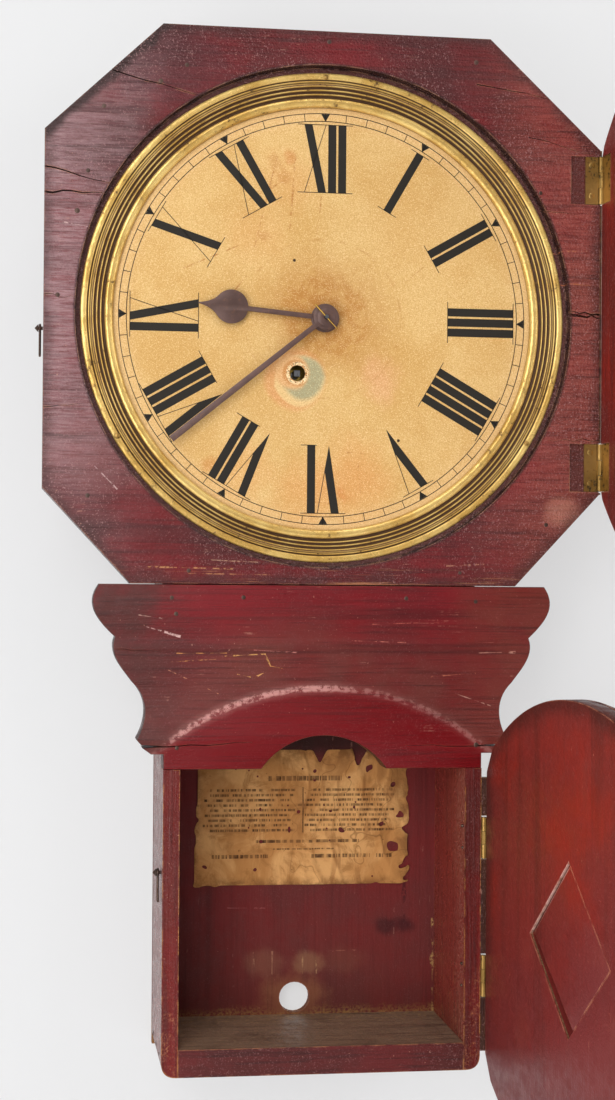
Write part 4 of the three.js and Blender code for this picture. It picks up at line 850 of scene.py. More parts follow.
class Palette:
    """All finishes of the clock, each made once."""

    def __init__(self) -> None:
        """Makes every material."""
        self.octagon = OctagonPaint(
            "octagon_maroon", base="680d12", second="521414", spots=OCTAGON_SPOTS, scratches=OCTAGON_SCRATCHES,
            pimples=1.2, relief=0.9, sparkle=0.45, grime=0.4, gloss=0.3, shine=(0.14, 0.26)).make()
        self.apron = ApronPaint(
            "apron_maroon", base="6f0f16", second="641318", bare="8a4e38", edge=0.35, gloss=0.2, relief=0.7,
            spots=APRON_SPOTS, scratches=APRON_SCRATCHES, flecks=0.35, sparkle=0.08, grime=0.35).make()
        self.side = SidePaint(
            "side_maroon", base="6a1a17", second="5e1e19", bare="b07840", fleck="b8806a",
            grain=Grain.ALONG_Z, flecks=0.7, edge=1.0, grime=0.35, sparkle=0.15, gloss=0.28, shine=(0.2, 0.4)).make()
        self.back = BoxPaint(
            "back_maroon", base="6a2120", second="602624", spots=BACK_SPOTS, scratches=BACK_SCRATCHES,
            grain=Grain.ALONG_Z, shine=(0.5, 0.7), grime=0.12, relief=0.2, pimples=0.2, gloss=0.15, sparkle=0.06,
            flecks=0.25, axis=1, other="7a5a3c", dust="8c6c4c", foot=-0.5297, shaded_top=-0.325).make()
        self.head = BoxPaint(
            "head_maroon", base="5e1a1c", second="4c1a1a", bare="9a6a50", shine=(0.4, 0.65), gloss=0.2,
            sparkle=0.15, axis=1, other="7a5a3c", dust="8c6c4c").make()
        self.floor = BoxPaint(
            "floor_brown", base="5c1a19", second="4c1b18", bare="9c6744", shine=(0.35, 0.6), flecks=0.5,
            edge=0.9, other="846a56", dust="ac8c60").make()
        self.door = DoorPaint(
            "door_brick", base="86261c", second="762822", dark="4e2018", bare="b8785c", fleck="c07a64",
            grain=Grain.ALONG_Z, grime=0.12, relief=0.2, pimples=0.25, edge=0.9, flecks=0.4, sparkle=0.1,
            gloss=0.2).make()
        self.upper_door = WoodPaint(
            "upper_door_brick", base="7c2018", second="6a201a", bare="b07a5c", grain=Grain.ALONG_Z, grime=0.35).make()
        # The strips beside the hinges are dark brown, painted shade for the dark joints between case and doors
        self.strip = WoodPaint(
            "strip_shade_brown", base="3a1e18", second="4a2a1e", dark="20100e", bare="8a5c38", grain=Grain.ALONG_Z).make()
        self.pine = WoodPaint(
            "bare_pine", base="a8835a", second="94704a", dark="6a4a2c", bare="c2a27a", fleck="c8a880", edge=0.2,
            pimples=0.1).make()
        self.bezel = Brass(
            "bezel_brass", "f0cc7c", "d0a452", "452a12", amount=0.55, hollows=True, shine=(0.25, 0.5), dents=0.6,
            metal=0.45).make()
        self.brass = Brass("clock_brass", "d9b45a", "c39a44", "6a4a1e", amount=0.35).make()
        self.aged = Brass(
            "aged_brass", "a88448", "8c6c34", "3e2c18", amount=0.85, shine=(0.32, 0.62), metal=0.7).make()
        self.steel = Steel("bright_steel", "8d8d90", "77777b", "5a3a26", rusty=0.3).make()
        self.iron = Steel("dull_iron", "4e403a", "5c4a42", "4a2c20", rusty=0.8, shine=(0.4, 0.65)).make()
        self.hand = Steel(
            "hand_brown", "5e4640", "503a34", "74503c", rusty=0.5, metal=0.35, shine=(0.35, 0.6)).make()
        self.zinc = Steel("dull_zinc", "9a9c9a", "868886", "6a6258", rusty=0.3, shine=(0.4, 0.6)).make()
        self.dial = DialPaper().make()
        self.label = LabelPaper().make()
        self.ink = Ink().make()
        self.glass = Pane().make()


def linked(name: str, data: bpy.types.ID) -> bpy.types.Object:
    """Makes an object and links it to the scene."""
    made = bpy.data.objects.new(name, data)
    bpy.context.scene.collection.objects.link(made)
    return made


def baked(name: str, shape: bmesh.types.BMesh) -> bpy.types.Mesh:
    """Turns a bmesh into a mesh and frees it."""
    mesh = bpy.data.meshes.new(name)
    shape.to_mesh(mesh)
    shape.free()
    return mesh


def add_prism(shape: bmesh.types.BMesh, front: Sequence[Sequence[float]], back: Sequence[Sequence[float]]) -> None:
    """Adds a closed prism between two outlines with as many points."""
    near, far = ([shape.verts.new(spot) for spot in outline] for outline in (front, back))
    shape.faces.new(near)
    shape.faces.new(far[::-1])
    for i in range(len(near)):
        n = (i + 1) % len(near)
        shape.faces.new([near[i], far[i], far[n], near[n]])


def closed_object(name: str, mesh: bpy.types.Mesh, material: bpy.types.Material) -> bpy.types.Object:
    """Links a mesh as a piece with one material.

    Args:
        name: the piece's name.
        mesh: its mesh, in place.
        material: its finish.

    Returns:
        The piece.
    """
    piece = linked(name, mesh)
    mesh.materials.clear()
    mesh.materials.append(material)
    return piece


def from_bmesh(
    name: str, shape: bmesh.types.BMesh, material: bpy.types.Material, smooth: float = 0.0,
) -> bpy.types.Object:
    """Turns a bmesh into a piece, with outward faces.

    Args:
        name: the piece's name.
        shape: the bmesh, which is freed.
        material: its finish.
        smooth: angle in degrees under which edges are shaded smooth, or 0 for flat.

    Returns:
        The piece.
    """
    bmesh.ops.remove_doubles(shape, verts=shape.verts, dist=1e-6)
    bmesh.ops.recalc_face_normals(shape, faces=shape.faces)
    piece = closed_object(name, baked(name, shape), material)
    shade(piece, smooth)
    return piece


def shade(piece: bpy.types.Object, angle: float) -> None:
    """Shades a piece smooth below an angle in degrees, or flat at 0."""
    mesh = piece.data
    mesh.polygons.foreach_set("use_smooth", [angle > 0] * len(mesh.polygons))
    if angle > 0:
        mesh.set_sharp_from_angle(angle=math.radians(angle))
    mesh.update()


def plate(
    name: str, outlines: Sequence[Outline], front: float, back: float, material: bpy.types.Material,
    rounding: float = 0.0, steps: int = 2,
) -> bpy.types.Object:
    """Makes a flat plate from outlines drawn in X and Z, the first its edge and the others its holes.

    Args:
        name: the piece's name.
        outlines: closed outlines.
        front: Y of the front face.
        back: Y of the back face.
        material: its finish.
        rounding: radius of its rounded edges.
        steps: faces across a rounded edge.

    Returns:
        The piece.
    """
    curve = bpy.data.curves.new(name, "CURVE")
    curve.dimensions = "2D"
    curve.fill_mode = "BOTH"
    curve.extrude = (back - front) / 2 - rounding
    curve.bevel_depth = rounding
    curve.bevel_resolution = max(steps - 1, 0)
    curve.offset = -rounding
    for outline in outlines:
        spline = curve.splines.new("POLY")
        spline.points.add(len(outline) - 1)
        for spot, (x, z) in zip(spline.points, outline):
            spot.co = (x, z, 0.0, 1.0)
        spline.use_cyclic_u = True
    holder = linked(name, curve)
    graph = bpy.context.evaluated_depsgraph_get()
    mesh = bpy.data.meshes.new_from_object(holder.evaluated_get(graph))
    bpy.data.objects.remove(holder)
    bpy.data.curves.remove(curve)
    mesh.transform(Matrix.Translation((0, (front + back) / 2, 0)) @ Matrix.Rotation(math.radians(90), 4, "X"))
    shape = bmesh.new()
    shape.from_mesh(mesh)
    bpy.data.meshes.remove(mesh)
    return from_bmesh(name, shape, material, 30.0 if rounding else 0.0)


def lathe(
    name: str, profile: Sequence[Point], material: bpy.types.Material, centre: Point = (0.0, 0.0),
    segments: int = 192, smooth: float = 40.0, hollows: Sequence[float] | None = None,
) -> bpy.types.Object:
    """Turns a closed profile of radius and Y about an axis along Y.

    Args:
        name: the piece's name.
        profile: points of radius and Y.
        material: its finish.
        centre: X and Z of the axis.
        segments: faces round it.
        smooth: angle of smooth shading in degrees.
        hollows: how deep each profile point lies in a groove, from 0 to 1.

    Returns:
        The piece.
    """
    shape = bmesh.new()
    layer = shape.verts.layers.float.new("hollow")
    rings = []
    for i in range(segments):
        angle = math.tau * i / segments
        ring = []
        for k, (radius, y) in enumerate(profile):
            spot = (centre[0] + radius * math.cos(angle), y, centre[1] + radius * math.sin(angle))
            vert = shape.verts.new(spot)
            vert[layer] = hollows[k] if hollows else 0.0
            ring.append(vert)
        rings.append(ring)
    count = len(profile)
    for i in range(segments):
        here, there = rings[i], rings[(i + 1) % segments]
        for k in range(count):
            n = (k + 1) % count
            corners = [here[k], here[n], there[n], there[k]]
            if profile[k][0] < 1e-7 and profile[n][0] < 1e-7:
                continue
            shape.faces.new(corners)
    return from_bmesh(name, shape, material, smooth)


def circle(radius: float, count: int = 96, x: float = 0.0, z: float = 0.0) -> Outline:
    """Gives a round outline."""
    return [(x + radius * math.cos(math.tau * i / count), z + radius * math.sin(math.tau * i / count))
            for i in range(count)]


def block(low: Sequence[float], high: Sequence[float]) -> bpy.types.Object:
    """Makes a plain cutting block between two corners."""
    shape = bmesh.new()
    bmesh.ops.create_cube(shape, size=1.0)
    size = [b - a for a, b in zip(low, high)]
    middle = [(a + b) / 2 for a, b in zip(low, high)]
    bmesh.ops.scale(shape, vec=size, verts=shape.verts)
    bmesh.ops.translate(shape, vec=middle, verts=shape.verts)
    return linked("cutter", baked("cutter", shape))


def carve(piece: bpy.types.Object, cutter: bpy.types.Object, action: str = "DIFFERENCE") -> None:
    """Cuts a piece with another one, which is then removed.

    Args:
        piece: the piece to cut.
        cutter: the cutting solid.
        action: DIFFERENCE, INTERSECT or UNION.
    """
    change = piece.modifiers.new("carve", "BOOLEAN")
    change.operation = action
    change.solver = "EXACT"
    change.object = cutter
    settle(piece)
    mesh = cutter.data
    bpy.data.objects.remove(cutter)
    bpy.data.meshes.remove(mesh)


def settle(piece: bpy.types.Object) -> None:
    """Applies a piece's modifiers to its mesh."""
    graph = bpy.context.evaluated_depsgraph_get()
    graph.update()
    mesh = bpy.data.meshes.new_from_object(piece.evaluated_get(graph))
    old = piece.data
    piece.modifiers.clear()
    piece.data = mesh
    if old.users == 0:
        bpy.data.meshes.remove(old)


def crack(points: Sequence[Point], width: float, front: float, depth: float) -> bpy.types.Object:
    """Makes the cutter of a thin crack along a line in X and Z, tapering to its ends.

    Args:
        points: the crack's line.
        width: its width at the first point.
        front: Y just in front of the board.
        depth: how deep it reaches.

    Returns:
        The cutter.
    """
    upper, lower = [], []
    last = len(points) - 1
    for i, (x, z) in enumerate(points):
        half = width / 2 * (1.0 - 0.75 * i / last)
        upper.append((x, z + half))
        lower.append((x, z - half))
    outline = upper + lower[::-1]
    shape = bmesh.new()
    add_prism(shape, *([(x, y, z) for x, z in outline] for y in (front, front + depth)))
    bmesh.ops.recalc_face_normals(shape, faces=shape.faces)
    return linked("crack", baked("crack", shape))


def wander(start: Point, end: Point, count: int, sway: float, seed: int) -> list[Point]:
    """Gives an uneven line between two points, the same on each run."""
    chance = random.Random(seed)
    line = []
    for i in range(count + 1):
        t = i / count
        drift = 0.0 if i in (0, count) else chance.uniform(-sway, sway)
        line.append((start[0] + (end[0] - start[0]) * t, start[1] + (end[1] - start[1]) * t + drift))
    return line


class NodeTree(NodeMaker):
    """A geometry node tree with named inputs, and the piece that it makes."""

    def __init__(self, name: str, inputs: dict[str, tuple[str, object]]) -> None:
        """Makes the tree with its named inputs.

        Args:
            name: the tree's name.
            inputs: socket type and default value by name.
        """
        super().__init__(bpy.data.node_groups.new(name, "GeometryNodeTree"))
        face = self.tree.interface
        face.new_socket("Geometry", in_out="INPUT", socket_type="NodeSocketGeometry")
        for label, (kind, value) in inputs.items():
            socket = face.new_socket(label, in_out="INPUT", socket_type=kind)
            if value is not None:
                socket.default_value = value
        face.new_socket("Geometry", in_out="OUTPUT", socket_type="NodeSocketGeometry")
        self.start = self.tree.nodes.new("NodeGroupInput")
        self.end = self.tree.nodes.new("NodeGroupOutput")

    def close(self, geometry: bpy.types.NodeSocket, material: bpy.types.NodeSocket) -> None:
        """Ends the tree in real, finished geometry."""
        real = self.out("GeometryNodeRealizeInstances", {0: geometry})
        done = self.out("GeometryNodeSetMaterial", {"Geometry": real, "Material": material})
        self.tree.links.new(done, self.end.inputs[0])

    def grow(
        self, name: str, base: bpy.types.Mesh, values: dict[str, object], smooth: float = 30.0,
    ) -> bpy.types.Object:
        """Runs the tree on a base mesh and gives the result as a plain piece.

        Args:
            name: the piece's name.
            base: the mesh that the tree starts from.
            values: its inputs by name.
            smooth: angle of smooth shading in degrees.

        Returns:
            The piece.
        """
        piece = linked(name, base)
        change = piece.modifiers.new("grow", "NODES")
        change.node_group = self.tree
        for item in self.tree.interface.items_tree:
            if item.in_out == "INPUT" and item.name in values:
                change[item.identifier] = values[item.name]
        settle(piece)
        shade(piece, smooth)
        return piece


def spots_mesh(places: Iterable[tuple[Sequence[float], Sequence[float]]]) -> bpy.types.Mesh:
    """Makes a mesh of loose points, each with the direction that it faces."""
    places = list(places)
    mesh = bpy.data.meshes.new("spots")
    mesh.from_pydata([tuple(spot) for spot, _ in places], [], [])
    facing = mesh.attributes.new("facing", "FLOAT_VECTOR", "POINT")
    for i, (_, way) in enumerate(places):
        facing.data[i].vector = Vector(way).normalized()
    return mesh


def dome_head(t: NodeTree, segments: int, rings: int) -> bpy.types.NodeSocket:
    """Gives a ball flattened to the tree's head radius and height."""
    radius, height = t.start.outputs["Head Radius"], t.start.outputs["Head Height"]
    ball = t.out("GeometryNodeMeshUVSphere", {"Segments": segments, "Rings": rings, "Radius": radius})
    squash = t.out("ShaderNodeMath", {0: height, 1: radius}, operation="DIVIDE")
    scale = t.out("ShaderNodeCombineXYZ", {0: 1.0, 1: 1.0, 2: squash})
    return t.out("GeometryNodeTransform", {"Geometry": ball, "Scale": scale})


def outward(t: NodeTree) -> bpy.types.NodeSocket:
    """Gives the turn that points each head along its place's direction."""
    way = t.out("GeometryNodeInputNamedAttribute", {"Name": "facing"}, data_type="FLOAT_VECTOR")
    return t.out("FunctionNodeAlignRotationToVector", {"Vector": way}, axis="Z")


def screw_tree() -> NodeTree:
    """Builds the tree of slotted screws with domed heads, one on each point."""
    t = NodeTree("slotted_screws", {
        "Head Radius": ("NodeSocketFloat", 0.0024), "Head Height": ("NodeSocketFloat", 0.0007),
        "Slot Width": ("NodeSocketFloat", 0.0006), "Seed": ("NodeSocketInt", 3),
        "Material": ("NodeSocketMaterial", None),
    })
    radius, height = t.start.outputs["Head Radius"], t.start.outputs["Head Height"]
    dome = dome_head(t, 20, 10)
    length = t.out("ShaderNodeMath", {0: radius, 1: 2.4}, operation="MULTIPLY")
    bar = t.out("ShaderNodeCombineXYZ", {0: length, 1: t.start.outputs["Slot Width"], 2: height})
    slot = t.out("GeometryNodeMeshCube", {"Size": bar})
    lift = t.out("ShaderNodeCombineXYZ", {2: height})
    slot = t.out("GeometryNodeTransform", {"Geometry": slot, "Translation": lift})
    cut = t.out("GeometryNodeMeshBoolean", {"Mesh 1": dome, "Mesh 2": slot}, operation="DIFFERENCE")
    turn = outward(t)
    angle = t.node("FunctionNodeRandomValue", {2: 0.0, 3: 3.14, "Seed": t.start.outputs["Seed"]}, data_type="FLOAT")
    spin = t.out("FunctionNodeAxisAngleToRotation", {"Axis": (0.0, 0.0, 1.0), "Angle": angle.outputs[1]})
    both = t.node("FunctionNodeRotateRotation", {"Rotation": turn, "Rotate By": spin}, rotation_space="LOCAL")
    many = t.out("GeometryNodeInstanceOnPoints", {
        "Points": t.start.outputs["Geometry"], "Instance": cut, "Rotation": both.outputs[0]})
    t.close(many, t.start.outputs["Material"])
    return t


def nail_tree() -> NodeTree:
    """Builds the tree of flat nail heads, one on each point."""
    t = NodeTree("nail_heads", {
        "Head Radius": ("NodeSocketFloat", 0.0016), "Head Height": ("NodeSocketFloat", 0.0004),
        "Seed": ("NodeSocketInt", 5), "Material": ("NodeSocketMaterial", None),
    })
    dome = dome_head(t, 12, 6)
    turn = outward(t)
    size = t.node("FunctionNodeRandomValue", {2: 0.75, 3: 1.2, "Seed": t.start.outputs["Seed"]}, data_type="FLOAT")
    many = t.out("GeometryNodeInstanceOnPoints", {
        "Points": t.start.outputs["Geometry"], "Instance": dome, "Rotation": turn, "Scale": size.outputs[1],
    })
    t.close(many, t.start.outputs["Material"])
    return t


def track_tree() -> NodeTree:
    """Builds the tree of radial marks round a dial, bars or inward points."""
    t = NodeTree("radial_marks", {
        "Count": ("NodeSocketInt", 60), "Radius": ("NodeSocketFloat", 0.149), "Length": ("NodeSocketFloat", 0.006),
        "Width": ("NodeSocketFloat", 0.0004), "Thickness": ("NodeSocketFloat", 0.00008),
        "Front": ("NodeSocketFloat", -0.0759), "Pointed": ("NodeSocketBool", False),
        "Material": ("NodeSocketMaterial", None),
    })
    get = t.start.outputs
    ring = t.out("GeometryNodeMeshCircle", {"Vertices": get["Count"], "Radius": get["Radius"]})
    bar_size = t.out("ShaderNodeCombineXYZ", {0: get["Length"], 1: get["Width"], 2: get["Thickness"]})
    bar = t.out("GeometryNodeMeshCube", {"Size": bar_size})
    half = t.out("ShaderNodeMath", {0: get["Length"], 1: 0.667}, operation="MULTIPLY")
    wedge = t.out("GeometryNodeMeshCylinder", {
        "Vertices": 3, "Radius": half, "Depth": get["Thickness"]})
    wedge = t.out("GeometryNodeTransform", {"Geometry": wedge, "Rotation": (0.0, 0.0, math.pi)})
    mark = t.node("GeometryNodeSwitch", {"Switch": get["Pointed"], "False": bar, "True": wedge},
        input_type="GEOMETRY")
    place = t.out("GeometryNodeInputPosition")
    turn = t.out("FunctionNodeAlignRotationToVector", {"Vector": place}, axis="X", pivot_axis="Z")
    many = t.out("GeometryNodeInstanceOnPoints", {
        "Points": ring, "Instance": mark.outputs[0], "Rotation": turn})
    real = t.out("GeometryNodeRealizeInstances", {0: many})
    lift = t.out("ShaderNodeCombineXYZ", {1: get["Front"]})
    upright = t.out("GeometryNodeTransform", {
        "Geometry": real, "Rotation": (math.pi / 2, 0.0, 0.0), "Translation": lift})
    t.close(upright, get["Material"])
    return t


class Trees:
    """The geometry node trees, each made once."""

    def __init__(self) -> None:
        """Builds the trees."""
        self.screws = screw_tree()
        self.nails = nail_tree()
        self.track = track_tree()


@dataclass
class Clock:
    """What all sub-assemblies share: the frame, the finishes and the trees."""

    nodes: dict[str, bpy.types.Object]
    colours: Palette
    trees: Trees

    def finish(self, material: bpy.types.Material, *names: str) -> None:
        """Gives CAD nodes a finish and leaves their shape."""
        for name in names:
            slots = self.nodes[name].data.materials
            slots.clear()
            slots.append(material)

    def wear(self, piece: bpy.types.Object, body: str, *replaced: str) -> bpy.types.Object:
        """Makes a piece ride on a body, in place of nodes if any are named."""
        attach(piece, body)
        if replaced:
            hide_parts(*replaced)
        LOG.info("%s rides on %s with %d faces", piece.name, body, len(piece.data.polygons))
        return piece

    def stud(self, tree: NodeTree, name: str, places: Sequence, material: bpy.types.Material, **sizes: float) -> None:
        """Sets heads on places of the case.

        Args:
            tree: the nails' or the screws' tree.
            name: the piece's name.
            places: spots, each with the direction that it faces.
            material: the heads' finish.
            sizes: the tree's inputs, with underscores for spaces.
        """
        values = {key.replace("_", " "): value for key, value in sizes.items()}
        self.wear(tree.grow(name, spots_mesh(places), {**values, "Material": material}), "case")


def span(name: str) -> tuple[Vector, Vector]:
    """Gives a CAD node's lowest and highest corners."""
    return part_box(name)


def bezier(points: Sequence[Point], count: int) -> Outline:
    """Gives points on a cubic curve, without its last one."""
    a, b, c, d = points
    line = []
    for i in range(count):
        t = i / count
        w = ((1 - t) ** 3, 3 * t * (1 - t) ** 2, 3 * t * t * (1 - t), t ** 3)
        line.append((sum(k * p[0] for k, p in zip(w, (a, b, c, d))), sum(k * p[1] for k, p in zip(w, (a, b, c, d)))))
    return line


@dataclass
class HeadBoard:
    """Octagonal front board: planks with cracks, a stepped opening, mortises and nails."""

    front: float = -88 * MM
    thickness: float = 20 * MM
    half_width: float = 205.5 * MM
    top: float = 208 * MM
    top_half: float = 121 * MM
    upper_corner: float = 129 * MM
    lower_corner: float = 127.5 * MM
    bottom: float = 195.5 * MM
    bottom_half: float = 142 * MM
    opening: float = 183 * MM
    ledge: float = 170 * MM
    ledge_depth: float = 7.5 * MM
    edge_round: float = 0.9 * MM
    hinge_extra: float = 11 * MM
    leaf_depth: float = 1.3 * MM
    knuckle_width: float = 4.7 * MM
    knuckle_depth: float = 2.5 * MM
    mortise_gap: float = 0.3 * MM
    crack_depth: float = 5 * MM
    crack_sway: float = 0.0012
    cracks: tuple[tuple[Point, Point, float], ...] = (
        ((-0.2065, 0.1018), (-0.1565, 0.0905), 0.0013), ((-0.2065, 0.0835), (-0.164, 0.0842), 0.0018),
        ((-0.2065, 0.0098), (-0.1825, 0.0085), 0.0006), ((-0.2065, -0.0700), (-0.1685, -0.0668), 0.0006),
        ((-0.1585, 0.1728), (-0.0855, 0.1555), 0.0011), ((0.1105, 0.1738), (0.1665, 0.1648), 0.0009),
        ((0.150, 0.1362), (0.199, 0.1258), 0.0007), ((0.2065, 0.0066), (0.1815, 0.0088), 0.0016),
        ((0.2065, -0.0868), (0.165, -0.0872), 0.0006),
        ((0.1828, 0.0058), (0.2075, 0.0046), 0.0024), ((0.156, 0.0822), (0.2, 0.0806), 0.00045),
    )
    nails: tuple[Point, ...] = (
        (-0.1745, 0.0995), (-0.182, 0.0705), (-0.1635, 0.1463), (-0.1228, 0.166), (-0.104, 0.1785),
        (-0.1955, 0.0099), (-0.173, -0.133), (0.1595, 0.0953), (0.11, 0.19), (0.0, 0.2), (-0.1, -0.186),
        (0.1, -0.186), (0.165, -0.15),
    )

    def outline(self) -> Outline:
        """Gives the octagon's corners."""
        return [
            (self.top_half, self.top), (-self.top_half, self.top), (-self.half_width, self.upper_corner),
            (-self.half_width, -self.lower_corner), (-self.bottom_half, -self.bottom),
            (self.bottom_half, -self.bottom), (self.half_width, -self.lower_corner),
            (self.half_width, self.upper_corner),
        ]

    def build(self, clock: Clock) -> None:
        """Builds the board with its nails."""
        back = self.front + self.thickness
        board = plate(
            "octagon_front_board", [self.outline(), circle(self.ledge, 256)], self.front, back, clock.colours.octagon,
            self.edge_round)
        step = lathe(
            "step_cutter", [(0.0, self.front - MM), (self.opening, self.front - MM),
                            (self.opening, self.front + self.ledge_depth), (0.0, self.front + self.ledge_depth)],
            clock.colours.octagon, segments=256)
        carve(board, step)
        for corner in ("top", "bottom"):
            low, high = span(f"upper_hinge_{corner}_case_leaf")
            for left, depth in (
                (low.x - self.hinge_extra, self.leaf_depth), (high.x - self.knuckle_width, self.knuckle_depth),
            ):
                carve(board, block(
                    (left, self.front - MM, low.z - self.mortise_gap),
                    (self.half_width + MM, self.front + depth, high.z + self.mortise_gap)))
        for i, (start, end, width) in enumerate(self.cracks):
            line = wander(start, end, 6, self.crack_sway, i)
            carve(board, crack(line, width, self.front - MM, self.crack_depth))
        shade(board, 30.0)
        clock.wear(board, "case", "front_octagon")
        places = [((x, self.front, z), (0, -1, 0)) for x, z in self.nails]
        clock.stud(
            clock.trees.nails, "octagon_nails", places, clock.colours.iron, Head_Radius=0.0016, Head_Height=FLAT_HEAD)


@dataclass
class Apron:
    """Scalloped apron board with its ears, cracks and arch."""

    half_width: float = 168.5 * MM
    top: float = -195.9 * MM
    height: float = 133.1 * MM
    box_half: float = 117.2 * MM
    arch_half: float = 46 * MM
    arch_rise: float = 24 * MM
    front: float = -88 * MM
    thickness: float = 20 * MM
    edge_round: float = 1.1 * MM
    ears: tuple = (
        ((0.974, 0), (1.03, 0.1), (0.995, 0.18), (0.905, 0.285)),
        ((0.905, 0.285), (0.935, 0.38), (0.87, 0.46), (0.83, 0.53)),
        ((0.83, 0.53), (0.755, 0.62), (0.765, 0.74), (0.81, 0.84)),
    )
    ear_tip: Point = (0.79, 0.868)
    strip_tip: Point = (0.785, 0.884)
    strip_foot: Point = (0.748, 0.918)
    crack_length: float = 17 * MM
    crack_depth: float = 4 * MM
    crack_sway: float = 0.0007
    crack_seed: int = 40

    def ear(self, side: int) -> Outline:
        """Gives one ear from its top to the foot of the board."""
        def place(share: Point) -> Point:
            """Turns shares of the board's size into a point."""
            return (side * share[0] * self.half_width, self.top - share[1] * self.height)
        line: Outline = []
        for curve in self.ears:
            line += bezier([place(p) for p in curve], 14)
        tip, strip, foot = place(self.ear_tip), place(self.strip_tip), place(self.strip_foot)
        inner = (tip[0] - side * self.crack_length, tip[1] - 0.9 * MM)
        edge = side * self.box_half
        return line + [
            place(self.ears[-1][-1]), tip, inner, strip, foot, (edge, foot[1]), (edge, self.top - self.height)]

    def arch(self) -> Outline:
        """Gives the arch from its left to its right foot."""
        radius = (self.arch_half ** 2 + self.arch_rise ** 2) / (2 * self.arch_rise)
        half = math.asin(self.arch_half / radius)
        bottom = self.top - self.height
        return [(radius * math.sin(half * (2 * i / 40 - 1)),
                 bottom + self.arch_rise - radius * (1 - math.cos(half * (2 * i / 40 - 1)))) for i in range(41)]

    def build(self, clock: Clock) -> None:
        """Builds the board, its fine cracks and its nails."""
        outline = self.ear(-1) + self.arch() + self.ear(1)[::-1]
        board = plate(
            "scalloped_apron", [outline], self.front, self.front + self.thickness, clock.colours.apron, self.edge_round)
        for i, (start, end, width) in enumerate((
            ((-0.120, -0.3128), (-0.053, -0.3095), 0.0009), ((0.121, -0.3128), (0.06, -0.3122), 0.0007),
            ((-0.150, -0.2425), (-0.122, -0.244), 0.0005),
        )):
            line = wander(start, end, 6, self.crack_sway, self.crack_seed + i)
            carve(board, crack(line, width, self.front - MM, self.crack_depth))
        shade(board, 30.0)
        clock.wear(board, "case", "apron_board")
        places = [((x, self.front, z), (0, -1, 0)) for x, z in (
            (-0.1075, -0.3135), (0.113, -0.312), (-0.112, -0.2055), (-0.1088, -0.2172), (0.112, -0.207),
            (-0.06, -0.205), (0.06, -0.205))]
        clock.stud(
            clock.trees.nails, "apron_nails", places, clock.colours.iron, Head_Radius=0.0015, Head_Height=FLAT_HEAD)


